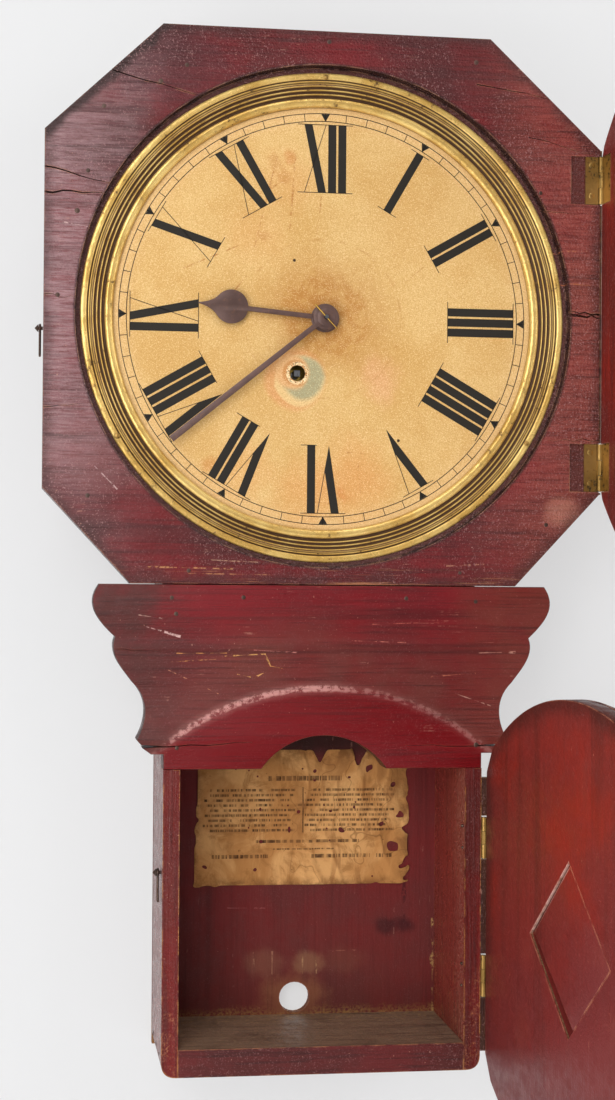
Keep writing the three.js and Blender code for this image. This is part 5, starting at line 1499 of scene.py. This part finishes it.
@dataclass
class Case:
    """Boards behind the octagon, the lower box, its label and the back."""

    label_left: float = -86.6 * MM
    label_top: float = -323 * MM
    label_width: float = 171 * MM
    label_height: float = 107 * MM
    label_back: float = -6.1 * MM
    screw_inset: Point = (4.5 * MM, 5 * MM)
    nail_x: float = 0.1105
    nail_rows: tuple[float, ...] = (-0.20, -0.27, -0.34, -0.41, -0.48, -0.535)
    head_nails: int = 18
    foot_z: float = -0.5395
    side_x: float = 0.1172
    side_z: float = -0.5375
    label_shares: tuple[Point, ...] = (
        (0, 0), (1, 0.01), (0.99, 0.3), (1, 0.62), (0.985, 0.8), (1, 0.97), (0.79, 0.985), (0.755, 0.86),
        (0.735, 1), (0.5, 0.99), (0.02, 1),
    )

    def build(self, clock: Clock) -> None:
        """Dresses the boards and builds the label, the nails and the hanging hardware."""
        c = clock.colours
        heads = [f"head_{part}_board" for part in (
            "top", "upper_left", "upper_right", "left", "right", "lower_left", "lower_right")]
        clock.finish(c.head, *heads, "head_back_panel")
        clock.finish(c.side, "box_side_left", "box_side_right")
        clock.finish(c.floor, "box_bottom")
        clock.finish(c.back, "box_back_panel")
        clock.finish(c.iron, "hanger_plate")
        self.label(clock)
        self.nails(clock)

    def inside(self, u: float, v: float) -> bool:
        """Tells whether a share of the label's width and height lies on the paper."""
        found = False
        points = self.label_shares
        for i, (x0, y0) in enumerate(points):
            x1, y1 = points[(i + 1) % len(points)]
            if (y0 > v) != (y1 > v) and u < (x1 - x0) * (v - y0) / (y1 - y0) + x0:
                found = not found
        return found

    def label(self, clock: Clock) -> None:
        """Builds the torn, wrinkled label."""
        shape = bmesh.new()
        across, down = 150, 94
        grid = {}
        for i in range(across + 1):
            for k in range(down + 1):
                u, v = i / across, k / down
                ragged = Vector((u * 9, v * 6, 1.5))
                torn = 0.35 + 1.5 * max(0.0, u - 0.75)
                du = (noise.noise(ragged * 3.1) * 0.012 + noise.noise(ragged * 9) * 0.007) * torn
                dv = (noise.noise(ragged * 2.7 + Vector((4, 0, 0))) * 0.016 + noise.noise(ragged * 9) * 0.007) * torn
                hole = noise.noise(Vector((u * 26, v * 17, 7.3))) + 0.35 * noise.noise(Vector((u * 70, v * 45, 1.0)))
                limit = 0.34 if u > 0.9 and v < 0.42 else 0.5 if u > 0.84 else 0.68
                holes = hole > limit and v < 0.93
                notch = abs(u + du - 0.58) < 0.035 * max(0.0, (v - 0.9) / 0.1)
                if not self.inside(u + du, v + dv) or holes or notch:
                    continue
                x = self.label_left + u * self.label_width
                z = self.label_top - self.label_height + v * self.label_height
                wave = noise.noise(Vector((x * 38, z * 46, 0.4))) * 0.5
                wave += noise.noise(Vector((x * 110, z * 95, 2.0))) * 0.22
                fold = abs(noise.noise(Vector((x * 46 + 0.35 * math.sin(z * 60), z * 11, 5.0))))
                wave += max(0.0, 0.16 - fold) * (7.5 if u > 0.5 else 2.5)
                curl = max(0.0, abs(u - 0.5) * 2 - 0.86) * 6 + max(0.0, 0.12 - v) * 5
                y = self.label_back - 0.35 * MM - max(0.0, wave + 0.12) * 1.1 * MM - curl * 0.4 * MM
                grid[i, k] = shape.verts.new((x, y, z))
        for i in range(across):
            for k in range(down):
                corners = [grid.get(key) for key in ((i, k), (i + 1, k), (i + 1, k + 1), (i, k + 1))]
                if all(corners):
                    shape.faces.new(corners)
        bmesh.ops.delete(shape, geom=[v for v in shape.verts if not v.link_faces], context="VERTS")
        for _ in range(3):
            rim = {
                v: [e.other_vert(v).co.copy() for e in v.link_edges if e.is_boundary]
                for v in shape.verts if v.is_boundary}
            for vert, near in rim.items():
                if len(near) == 2:
                    vert.co = vert.co * 0.4 + (near[0] + near[1]) * 0.3
        sheet = closed_object("box_label", baked("label_sheet", shape), clock.colours.label)
        change = sheet.modifiers.new("thickness", "SOLIDIFY")
        change.thickness = 0.25 * MM
        change.offset = -1.0
        settle(sheet)
        shade(sheet, 60.0)
        clock.wear(sheet, "case", "paper_label")

    def nails(self, clock: Clock) -> None:
        """Builds the nails of the back, the box and the head."""
        places = [((x, 0.0, z), (0, 1, 0)) for x in (-self.nail_x, self.nail_x) for z in self.nail_rows]
        for i in range(self.head_nails):
            angle = math.tau * (i + 0.5) / self.head_nails
            places.append(((0.176 * math.cos(angle), 0.0, 0.172 * math.sin(angle)), (0, 1, 0)))
        places += [((x, 0.0, self.foot_z), (0, 1, 0)) for x in (-0.09, 0.0, 0.09)]
        for y in (-0.07, -0.045, -0.02):
            places += [((side * self.side_x, y, self.side_z), (side, 0, 0)) for side in (-1, 1)]
        iron = clock.colours.iron
        clock.stud(clock.trees.nails, "case_nails", places, iron, Head_Radius=0.0018)
        low, high = span("hanger_plate")
        inset, rise = self.screw_inset
        spots = [((x, high.y, low.z + rise), (0, 1, 0)) for x in (low.x + inset, high.x - inset)]
        clock.stud(clock.trees.screws, "hanger_screws", spots, iron, Head_Radius=0.0026)


@dataclass
class Dial:
    """Bezel, pan, paper, the printed numerals and the minute track."""

    paper_front: float = -75.8 * MM
    ink: float = 0.09 * MM
    numeral_inner: float = 93.0 * MM
    numeral_outer: float = 143.0 * MM
    bar: float = 6.0 * MM
    gap: float = 1.5 * MM
    hairline: float = 0.5 * MM
    wide: float = 16.4 * MM
    serif: float = 4.8 * MM
    track_inner: float = 145.6 * MM
    track_outer: float = 151.3 * MM
    # The bezel in millimetres; each point of its profile is radius, Y and how deep it lies in a groove
    flute_outer: float = 173.8
    flute_inner: float = 162.2
    flute_pitch: float = 2.9
    flute_depth: float = 1.15
    flute_steps: int = 72
    flange: tuple[tuple[float, float, float], ...] = (
        (179.2, -80.55, 0.4), (179.2, -81.2, 0.1), (178.8, -81.7, 0.0), (177.8, -81.95, 0.0),
        (176.6, -82.05, 0.0), (175.5, -81.95, 0.0), (174.7, -81.6, 0.2), (174.3, -80.9, 0.95), (174.0, -80.8, 1.0),
    )
    lip: tuple[tuple[float, float, float], ...] = (
        (161.8, -77.9, 1.0), (161.4, -78.9, 0.3), (160.6, -79.5, 0.0), (159.5, -79.75, 0.0), (158.9, -79.55, 0.3),
        (158.5, -79.5, 0.3), (157.8, -79.6, 0.0), (156.6, -79.2, 0.0), (155.7, -78.4, 0.0), (155.3, -77.4, 0.2),
        (155.3, -75.95, 0.8), (158.0, -75.95, 0.5), (169.8, -79.3, 0.5), (171.2, -80.55, 0.5),
    )
    pin_radius: float = 0.1762
    pin_angles: tuple[float, ...] = (90.3, 210.5, 329.5)
    texts: tuple[str, ...] = ("XII", "I", "II", "III", "IIII", "V", "VI", "VII", "VIII", "IX", "X", "XI")

    def build(self, clock: Clock) -> None:
        """Builds the dial's pieces."""
        c = clock.colours
        clock.finish(c.zinc, "dial_pan")
        clock.finish(c.dial, "dial_paper")
        self.bezel(clock)
        self.numerals(clock)
        self.track(clock)

    def bezel(self, clock: Clock) -> None:
        """Builds the fluted bezel."""
        profile = list(self.flange)
        for i in range(self.flute_steps + 1):
            r = self.flute_outer - (self.flute_outer - self.flute_inner) * i / self.flute_steps
            base = -82.0 + (self.flute_outer - r) * 0.27
            wave = (0.5 + 0.5 * math.cos(math.tau * (173.0 - r) / self.flute_pitch)) ** 1.6
            profile.append((r, base + self.flute_depth * (1 - wave), min(1.0, 1.15 * (1 - wave) ** 0.8)))
        profile += self.lip
        ring = lathe(
            "dial_bezel_ring", [(r * MM, y * MM) for r, y, _ in profile], clock.colours.bezel, segments=256,
            hollows=[deep for _, _, deep in profile])
        clock.wear(ring, "case", "dial_bezel")
        turns = [math.radians(angle) for angle in self.pin_angles]
        pins = [
            ((self.pin_radius * math.cos(a), -82.05 * MM, self.pin_radius * math.sin(a)), (0, -1, 0)) for a in turns]
        clock.stud(
            clock.trees.nails, "bezel_pins", pins, clock.colours.aged, Head_Radius=0.0019, Head_Height=0.0009)

    def strokes(self, text: str) -> tuple[list[list[Point]], float]:
        """Gives a numeral's strokes as polygons of sideways and outward places, and its width.

        Args:
            text: the numeral.

        Returns:
            The polygons, centred sideways, and the width.
        """
        low, high = self.numeral_inner, self.numeral_outer
        parts: list[list[Point]] = []
        tips: list[float] = []
        feet: list[float] = []
        u = 0.0
        for letter in text:
            w, b, h = self.wide, self.bar, self.hairline
            if letter == "I":
                parts.append([(u, low), (u + b, low), (u + b, high), (u, high)])
                feet += [u, u + b]
                tips += [u, u + b]
                u += b + self.gap
                continue
            if letter == "V":
                parts.append(self.wedge(u))
            else:
                parts.append([(u, high), (u + w - b, low), (u + w, low), (u + b, high)])
                parts.append([(u + w - h, high), (u, low), (u + h, low), (u + w, high)])
                feet += [u, u + w]
            tips += [u, u + w]
            u += w + self.gap
        width = u - self.gap
        half = self.hairline / 2
        for line, places in ((high, tips), (low, feet)):
            if places:
                a, z = min(places) - self.serif, max(places) + self.serif
                if line == low and text.startswith("V"):
                    a = min(places) - 1.2 * MM
                parts.append([(a, line - half), (z, line - half), (z, line + half), (a, line + half)])
        return [[(x - width / 2, y) for x, y in part] for part in parts], width

    def wedge(self, u: float) -> list[Point]:
        """Gives the V's outline: a thick and a thin stroke that meet in a point."""
        low, high, w, b, h = self.numeral_inner, self.numeral_outer, self.wide, self.bar, self.hairline
        foot = w * 0.47
        span_v = high - low
        # The inner edges of the thick stroke and the hairline meet here
        share = (w - h - b) / w
        inner_x = b + foot * share
        return [(u, high), (u + b, high), (u + inner_x, high - span_v * share), (u + w - h, high), (u + w, high),
            (u + foot, low)]

    def numerals(self, clock: Clock) -> None:
        """Builds the twelve numerals as thin printed shapes."""
        shape = bmesh.new()
        back, front = self.paper_front, self.paper_front - self.ink
        for hour, text in enumerate(self.texts):
            angle = math.radians(30 * hour)
            sine, cosine = math.sin(angle), math.cos(angle)
            for part in self.strokes(text)[0]:
                add_prism(shape, *(
                    [(u * cosine + v * sine, y, v * cosine - u * sine) for u, v in part] for y in (front, back)))
        bmesh.ops.recalc_face_normals(shape, faces=shape.faces)
        numerals = closed_object("dial_numerals", baked("dial_numerals", shape), clock.colours.ink)
        clock.wear(numerals, "case")

    def track(self, clock: Clock) -> None:
        """Builds the minute track: two rings, sixty ticks and twelve points."""
        back, front = self.paper_front, self.paper_front - self.ink
        half = 0.28 * MM
        for name, radius in (("track_inner_ring", self.track_inner), ("track_outer_ring", self.track_outer)):
            edge = [(radius - half, front), (radius + half, front), (radius + half, back), (radius - half, back)]
            clock.wear(lathe(name, edge, clock.colours.ink, segments=240), "case")
        middle = (self.track_inner + self.track_outer) / 2
        common = {"Thickness": self.ink, "Front": (front + back) / 2, "Material": clock.colours.ink}
        ticks = clock.trees.track.grow("track_ticks", bpy.data.meshes.new("ticks"), {
            "Count": 60, "Radius": middle, "Length": self.track_outer - self.track_inner, "Width": 0.5 * MM, **common},
            0.0)
        clock.wear(ticks, "case")
        points = clock.trees.track.grow("track_points", bpy.data.meshes.new("points"), {
            "Count": 12, "Radius": middle + 0.6 * MM, "Length": 5.6 * MM, "Width": 1 * MM, "Pointed": True,
            **common}, 0.0)
        clock.wear(points, "case")


@dataclass
class Hands:
    """Hour and minute hands, the washer and the taper pin."""

    hour_angle: float = 275.4
    minute_angle: float = 231.1
    thickness: float = 0.9 * MM
    hour_back: float = -79.2 * MM
    minute_back: float = -82.8 * MM

    def turned_outline(self, points: Outline, angle: float) -> Outline:
        """Turns an outline clockwise as seen from the front."""
        sine, cosine = math.sin(math.radians(angle)), math.cos(math.radians(angle))
        return [(x * cosine + z * sine, z * cosine - x * sine) for x, z in points]

    def arc(self, x: float, z: float, radius: float, start: float, end: float, count: int) -> Outline:
        """Gives points on an arc between two angles in degrees."""
        return [(x + radius * math.cos(math.radians(start + (end - start) * i / count)),
                 z + radius * math.sin(math.radians(start + (end - start) * i / count))) for i in range(count + 1)]

    def hour_outline(self) -> Outline:
        """Gives the hour hand pointing up: hub, stem, round bob and tip."""
        hub, bob, centre, half, tip = 10.5, 12.4, 69.6, 1.8, 94.0
        shoulder = math.degrees(math.asin(half / bob))
        near = math.degrees(math.asin(half / hub))
        line = self.arc(0, 0, hub, 90 + near, 450 - near, 60)
        line += self.arc(0, centre, bob, -90 + shoulder, 52, 30)
        neck = centre + bob * math.sin(math.radians(52))
        side = bob * math.cos(math.radians(52))
        point = 0.45
        taper = []
        for i in range(1, 12):
            t = i / 12
            w = ((1 - t) ** 2, 2 * t * (1 - t), t * t)
            taper.append((w[0] * side + w[1] * half + w[2] * point, w[0] * neck + w[1] * (neck + 4.5) + w[2] * tip))
        line += taper + [(point, tip), (-point, tip)] + [(-x, z) for x, z in reversed(taper)]
        line += self.arc(0, centre, bob, 128, 270 - shoulder, 30)
        return [(x * MM, z * MM) for x, z in line]

    def minute_outline(self) -> Outline:
        """Gives the minute hand pointing up: small hub and a bar that ends square."""
        hub, half, end, length = 9.4, 1.9, 2.5, 145.0
        near = math.degrees(math.asin(half / hub))
        line = self.arc(0, 0, hub, 90 + near, 450 - near, 48)
        line += [(end, length), (-end, length)]
        return [(x * MM, z * MM) for x, z in line]

    def build(self, clock: Clock) -> None:
        """Builds the hands and dresses the arbor's end."""
        c = clock.colours
        hour = plate(
            "hour_hand_spade", [self.turned_outline(self.hour_outline(), self.hour_angle), circle(3.8 * MM, 32)],
            self.hour_back - self.thickness, self.hour_back, c.hand, 0.2 * MM)
        clock.wear(hour, "hour_pipe", "hour_hand")
        minute = plate(
            "minute_hand_bar", [self.turned_outline(self.minute_outline(), self.minute_angle), circle(1.7 * MM, 24)],
            self.minute_back - self.thickness, self.minute_back, c.hand, 0.2 * MM)
        clock.wear(minute, "minute_arbor", "minute_hand")
        front = self.minute_back - self.thickness
        washer = lathe("hand_washer", [(r * MM, front + y * MM) for r, y in (
            (1.7, 0.0), (6.4, 0.0), (6.4, -0.15), (5.9, -0.4), (2.8, -0.65), (1.7, -0.6))], c.hand, segments=48)
        clock.wear(washer, "minute_arbor")
        clock.finish(c.brass, "taper_pin", "centre_wheel")
        clock.finish(c.steel, "centre_arbor")


@dataclass
class Movement:
    """Plates, wheels, escapement and pendulum behind the dial."""

    bob_radius: float = 26 * MM
    bob_half: float = 4.5 * MM
    bob_z: float = -189 * MM
    bob_y: float = -20.2 * MM

    def build(self, clock: Clock) -> None:
        """Dresses the movement and builds the round bob."""
        c = clock.colours
        clock.finish(
            c.brass, "back_plate", "front_plate", "great_wheel", "minute_wheel", "hour_wheel", "third_wheel",
            "escape_wheel")
        clock.finish(c.pine, "movement_block_left", "movement_block_right")
        clock.finish(c.steel, "mainspring", "winding_arbor", "click", "verge", "pendulum_rod")
        clock.finish(c.aged, "suspension_post", "crutch", "rating_nut")
        profile = []
        for i in range(25):
            angle = math.radians(-90 + 180 * i / 24)
            reach = self.bob_radius * math.cos(angle) ** 0.8 if 0 < i < 24 else 0.0
            profile.append((reach, self.bob_half * math.sin(angle)))
        bob = lathe(
            "pendulum_lens", [(r, self.bob_y + y) for r, y in profile], c.brass, (0.0, self.bob_z), 64)
        bore = lathe("bore", [(0.0, -0.03), (1.2 * MM, -0.03), (1.2 * MM, 0.03), (0.0, 0.03)], c.brass, segments=16)
        upright = Matrix.Rotation(math.radians(90), 4, "X")
        bore.data.transform(Matrix.Translation((0, self.bob_y, self.bob_z)) @ upright)
        carve(bob, bore)
        shade(bob, 40.0)
        clock.wear(bob, "pendulum", "pendulum_bob")


# A door's rim moulding, in shares of its width and swell, and its sizes in millimetres
RIM = ((0, -0.5), (0.08, 0.25), (0.25, 0.85), (0.42, 1.0), (0.6, 1), (0.72, 0.82), (0.86, 0.35), (1, 0))
RIM_WIDTH, RIM_DEPTH, RIM_SWELL = 20, 18, 6


@dataclass
class Door:
    """Sizes that both doors share, and how a closed door is swung open."""

    axis_x: float
    centre_x: float
    centre_z: float
    radius: float
    edge_x: float
    corner_share: float
    axis_y: float = -88.2 * MM
    gap: float = 0.2 * MM
    opening: float = 99.0

    def outline(self, inset: float = 0.0) -> Outline:
        """Gives the door's outline, cut straight at its hinge edge."""
        reach = self.edge_x - self.centre_x
        chord = math.sqrt(self.radius ** 2 - reach ** 2)
        start = math.asin(chord * (2 - self.corner_share) / self.radius)
        radius = self.radius - inset
        line = [(self.centre_x + radius * math.cos(start + (math.tau - 2 * start) * i / 200),
                 self.centre_z + radius * math.sin(start + (math.tau - 2 * start) * i / 200)) for i in range(201)]
        half = chord * self.corner_share - inset
        return line + [(self.edge_x - inset, self.centre_z - half), (self.edge_x - inset, self.centre_z + half)]

    def y(self, depth_mm: float) -> float:
        """Gives the Y of a depth in front of the closed door's back face."""
        return self.axis_y - self.gap - depth_mm * MM

    def moulded(self, radius_mm: float) -> list[Point]:
        """Gives the rim's profile as radius and depth in millimetres."""
        return [(radius_mm - u * RIM_WIDTH, RIM_DEPTH + v * RIM_SWELL) for u, v in RIM]

    def ring(
        self, clock: Clock, name: str, profile: Sequence[Point], material: bpy.types.Material, segments: int,
    ) -> bpy.types.Object:
        """Turns a profile of radius and depth in millimetres and cuts it to the door's outline."""
        centre = (self.centre_x, self.centre_z)
        made = lathe(name, [(a * MM, self.y(d)) for a, d in profile], material, centre, segments)
        carve(made, plate("blank", [self.outline()], self.y(30), self.y(-3), clock.colours.door), "INTERSECT")
        return made

    def swing(self, piece: bpy.types.Object) -> bpy.types.Object:
        """Turns a piece that was made closed to the open place at rest."""
        hinge = Matrix.Translation((self.axis_x, self.axis_y, 0))
        piece.data.transform(hinge @ Matrix.Rotation(math.radians(self.opening), 4, "Z") @ hinge.inverted())
        return piece


@dataclass
class UpperDoor(Door):
    """Large round door: moulded ring, glass, putty, hinge leaves and staple."""

    sight: float = 160.0
    rabbet: float = 168.0
    mortises: tuple[Point, ...] = ((12.3, 1.5), (2.5, 2.5))
    mortise_gap: float = 0.3 * MM
    putty: tuple[Point, ...] = ((167.9, 5.1), (162.4, 5.1), (163.4, 4.2), (165.4, 2.6), (167.9, 0.6))

    def build(self, clock: Clock) -> None:
        """Builds the door."""
        c = clock.colours
        r = self.radius / MM
        rim = self.moulded(r)
        sight = [(self.sight + u * 18, 18 + v * 6) for u, v in (
            (1, 0), (0.85, 0.6), (0.6, 0.9), (0.42, 0.75), (0.2, 0.3), (0.08, -0.3), (0, -0.9))]
        profile = [(r, 0)] + rim + sight + [(self.sight, 8), (self.rabbet, 8), (self.rabbet, 0)]
        ring = self.ring(clock, "upper_door_ring", profile, c.upper_door, 256)
        self.swing(ring)
        for corner in ("top", "bottom"):
            low, high = span(f"upper_hinge_{corner}_door_leaf")
            for width, depth in self.mortises:
                cutter = block(
                    (self.axis_x - width * MM, self.y(depth), low.z - self.mortise_gap),
                    (self.axis_x + MM, self.y(-2), high.z + self.mortise_gap))
                carve(ring, self.swing(cutter))
        shade(ring, 35.0)
        clock.wear(ring, "upper_door", "upper_door_frame")
        clock.finish(c.glass, "upper_door_glass")
        line = lathe(
            "glass_putty", [(a * MM, self.y(d)) for a, d in self.putty], c.floor, (self.centre_x, self.centre_z), 192)
        clock.wear(self.swing(line), "upper_door")
        staple(clock, self, "upper_door_staple", "upper_door", -0.012)


@dataclass
class LowerDoor(Door):
    """Round lower door: board with a diamond let in, and a rim moulding on its front."""

    board: float = 13.0
    diamond_half: Point = (52.0, 58.0)
    insert_corners: tuple[Point, ...] = ((-51.3, 0.0), (-6.0, -50.5), (46.6, 2.2), (-1.0, 56.0))

    def diamond(self, grow: float) -> Outline:
        """Gives the diamond's outline, grown by a distance in millimetres."""
        w, h = ((side + grow) * MM for side in self.diamond_half)
        x, z = self.centre_x, self.centre_z
        return [(x - w, z), (x, z - h), (x + w, z), (x, z + h)]

    def build(self, clock: Clock) -> None:
        """Builds the door."""
        c = clock.colours
        board = plate(
            "lower_door_panel", [self.outline(), self.diamond(-15)], self.y(self.board), self.y(0), c.door, 0.8 * MM)
        carve(board, plate("recess", [self.diamond(0)], self.y(6), self.y(-3), c.door))
        shade(board, 30.0)
        clock.wear(self.swing(board), "lower_door", "lower_door_board")
        x, z = self.centre_x, self.centre_z
        slipped = [(x + u * MM, z + v * MM) for u, v in self.insert_corners]
        insert = plate("diamond_insert", [slipped], self.y(5.7), self.y(0.25), c.door, 0.5 * MM)
        clock.wear(self.swing(insert), "lower_door", "lower_door_diamond")
        r = self.radius / MM
        front = self.board + 0.3
        rim = self.moulded(r)
        profile = [(r, front)] + rim + [
            (r - 28, 17.4), (r - 36, 17.0), (r - 39, 16.0), (r - 40, 14.5), (r - 40, front)]
        ring = self.ring(clock, "lower_door_rim", profile, c.door, 200)
        shade(ring, 35.0)
        clock.wear(self.swing(ring), "lower_door", "lower_door_moulding")
        staple(clock, self, "lower_door_staple", "lower_door", -0.405)


def staple(clock: Clock, door: Door, name: str, body: str, z: float) -> None:
    """Builds the wire staple at a door's free edge that its hook catches."""
    height = z - door.centre_z
    x = door.centre_x - math.sqrt(door.radius ** 2 - height ** 2)
    shape = bmesh.new()
    count, sides, wire, reach = 14, 8, 0.7 * MM, 3.2 * MM
    rings = []
    for i in range(count + 1):
        angle = math.pi * i / count
        centre = Vector((x + 0.6 * MM - reach * math.sin(angle), door.y(9), z + 2.6 * MM * math.cos(angle)))
        along = Vector((-math.cos(angle), 0, -math.sin(angle))).normalized()
        side = Vector((0, 1, 0))
        up = along.cross(side)
        rings.append([
            shape.verts.new(centre + wire * (
                math.cos(math.tau * k / sides) * side + math.sin(math.tau * k / sides) * up))
            for k in range(sides)])
    for i in range(count):
        for k in range(sides):
            n = (k + 1) % sides
            shape.faces.new([rings[i][k], rings[i][n], rings[i + 1][n], rings[i + 1][k]])
    shape.faces.new(rings[0][::-1])
    shape.faces.new(rings[-1])
    piece = from_bmesh(name, shape, clock.colours.aged, 40.0)
    clock.wear(door.swing(piece), body)


@dataclass
class Hardware:
    """Hinges with their screws, and the two wire hooks."""

    front: float = -88 * MM
    upper_gap: float = 11.4 * MM
    lower_gap: float = 8 * MM
    screw_inset: float = 9.5 * MM
    tip: Point = (105.1 * MM, -83 * MM)

    def build(self, clock: Clock) -> None:
        """Dresses the hinges and hooks and builds the screws."""
        c = clock.colours
        for level in ("upper", "lower"):
            clock.finish(c.iron, f"{level}_hook", f"{level}_hook_screw")
            for corner in ("top", "bottom"):
                clock.finish(
                    c.aged, f"{level}_hinge_{corner}_case_leaf", f"{level}_hinge_{corner}_door_leaf")
        self.screws(clock)
        self.strips(clock)

    def strips(self, clock: Clock) -> None:
        """Builds the narrow strips that fill the joints beside the hinges, dark brown as painted shade in these joints.
        """
        lower = (116.9, 121.9, -87.9, "box_edge_strip", ((-336.0, -364.0), (-396.0, -465.0), (-497.0, -536.0)))
        upper = (205.2, 206.45, -87.95, "head_edge_strip", ((128.4, 124.4), (87.6, -89.0), (-125.8, -127.2)))
        for left, right, front, name, spans in (lower, upper):
            for i, (top, bottom) in enumerate(spans):
                strip = block((left * MM, front * MM, bottom * MM), (right * MM, -83.5 * MM, top * MM))
                strip.name = f"{name}_{i + 1}"
                strip.data.materials.append(clock.colours.strip)
                clock.wear(strip, "case")

    def screws(self, clock: Clock) -> None:
        """Builds the screws of the hinge leaves and their tips inside the box."""
        places, tips = [], []
        for corner in ("top", "bottom"):
            low, high = span(f"upper_hinge_{corner}_case_leaf")
            for dz in (-self.upper_gap, self.upper_gap):
                places.append(((high.x - self.screw_inset, self.front, (low.z + high.z) / 2 + dz), (0, -1, 0)))
            low, high = span(f"lower_hinge_{corner}_case_leaf")
            for dz in (-self.lower_gap, self.lower_gap):
                tips.append(((*self.tip, (low.z + high.z) / 2 + dz), (-1, 0, 0)))
        clock.stud(
            clock.trees.screws, "upper_hinge_screws", places, clock.colours.aged, Head_Radius=2.3 * MM,
            Head_Height=0.5 * MM)
        clock.stud(
            clock.trees.nails, "hinge_screw_tips", tips, clock.colours.iron, Head_Radius=1.1 * MM,
            Head_Height=1.6 * MM)


@dataclass
class Studio:
    """Wall, floor, lights and camera."""

    eye: tuple[float, float, float] = (-0.2098, -1.1508, -0.1963)
    yaw: float = 6.24
    pitch: float = 0.5
    roll: float = 0.44
    lens: float = 48.65
    shift: Point = (0.1, 0.02)
    sensor: float = 36.0
    near: float = 0.02
    wall_y: float = 0.004
    floor_z: float = -0.75
    reach: float = 4
    sky: Colour = (0.93, 0.94, 0.95, 1.0)
    sky_power: float = 0.3
    # Each lamp: name, place, aim, width and height, power in watts
    lamps: tuple = (
        ("key", (-0.95, -1.9, 0.55), (0, 0, -0.05), (1.25, 1.7), 28.5),
        ("fill", (1.9, -1.7, 0.7), (0, 0, -0.2), (1.3, 1.3), 19.0),
        ("top", (0.0, -1.2, 1.7), (0, 0, -0.2), (1.0, 1.0), 9.0),
        ("low", (-1.25, -1.5, -0.75), (0.05, 0, -0.45), (0.8, 0.8), 13.0),
        ("back", (0.5, 1.7, -0.95), (0, 0, -0.1), (1.2, 0.6), 30.0),
    )

    def build(self) -> None:
        """Builds the studio."""
        self.stage()
        self.lights()
        self.camera()

    def stage(self) -> None:
        """Builds the wall and the floor."""
        white = StageWhite("stage_white").make()
        far, wall, floor = self.reach, self.wall_y, self.floor_z
        for name, corners in (
            ("stage_wall", [(-far, wall, floor), (far, wall, floor), (far, wall, far), (-far, wall, far)]),
            ("stage_floor", [(-far, -far, floor), (far, -far, floor), (far, far, floor), (-far, far, floor)]),
        ):
            mesh = bpy.data.meshes.new(name)
            mesh.from_pydata(corners, [], [(0, 1, 2, 3)])
            closed_object(name, mesh, white)

    def lights(self) -> None:
        """Builds the soft lights and the world."""
        for name, place, aim, size, power in self.lamps:
            data = bpy.data.lights.new(name, "AREA")
            data.shape = "RECTANGLE"
            data.size, data.size_y = size
            data.energy = power
            lamp = linked(name, data)
            lamp.location = place
            lamp.rotation_euler = (Vector(aim) - Vector(place)).to_track_quat("-Z", "Y").to_euler()
        world = bpy.data.worlds.new("soft_world")
        world.use_nodes = True
        sky = world.node_tree.nodes["Background"]
        sky.inputs[0].default_value = self.sky
        sky.inputs[1].default_value = self.sky_power
        bpy.context.scene.world = world

    def camera(self) -> None:
        """Builds the camera at the photograph's angle."""
        yaw, pitch, roll = (math.radians(v) for v in (self.yaw, self.pitch, self.roll))
        ahead = Vector((math.sin(yaw) * math.cos(pitch), math.cos(yaw) * math.cos(pitch), math.sin(pitch)))
        right = Vector((math.cos(yaw), -math.sin(yaw), 0.0))
        up = right.cross(ahead)
        side = right * math.cos(roll) + up * math.sin(roll)
        top = up * math.cos(roll) - right * math.sin(roll)
        data = bpy.data.cameras.new("camera")
        data.lens = self.lens
        data.sensor_width = self.sensor
        data.shift_x, data.shift_y = self.shift
        data.clip_start = self.near
        eye = linked("camera", data)
        turn = Matrix((side, top, -ahead)).transposed().to_4x4()
        eye.matrix_world = Matrix.Translation(self.eye) @ turn
        bpy.context.scene.camera = eye
        bpy.context.scene.view_settings.view_transform = "Standard"


def main() -> None:
    """Loads the frame and builds every sub-assembly."""
    logging.basicConfig(level=logging.INFO, format="%(name)s: %(message)s")
    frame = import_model()
    clock = Clock(frame["nodes"], Palette(), Trees())
    HeadBoard().build(clock)
    Apron().build(clock)
    Case().build(clock)
    Dial().build(clock)
    Hands().build(clock)
    Movement().build(clock)
    UpperDoor(205.9 * MM, -2 * MM, 0.0, 243 * MM, 205.3 * MM, 0.965).build(clock)
    LowerDoor(119.5 * MM, -3 * MM, -434 * MM, 164 * MM, 117.2 * MM, 0.92).build(clock)
    Hardware().build(clock)
    Studio().build()


if __name__ == "__main__":
    main()
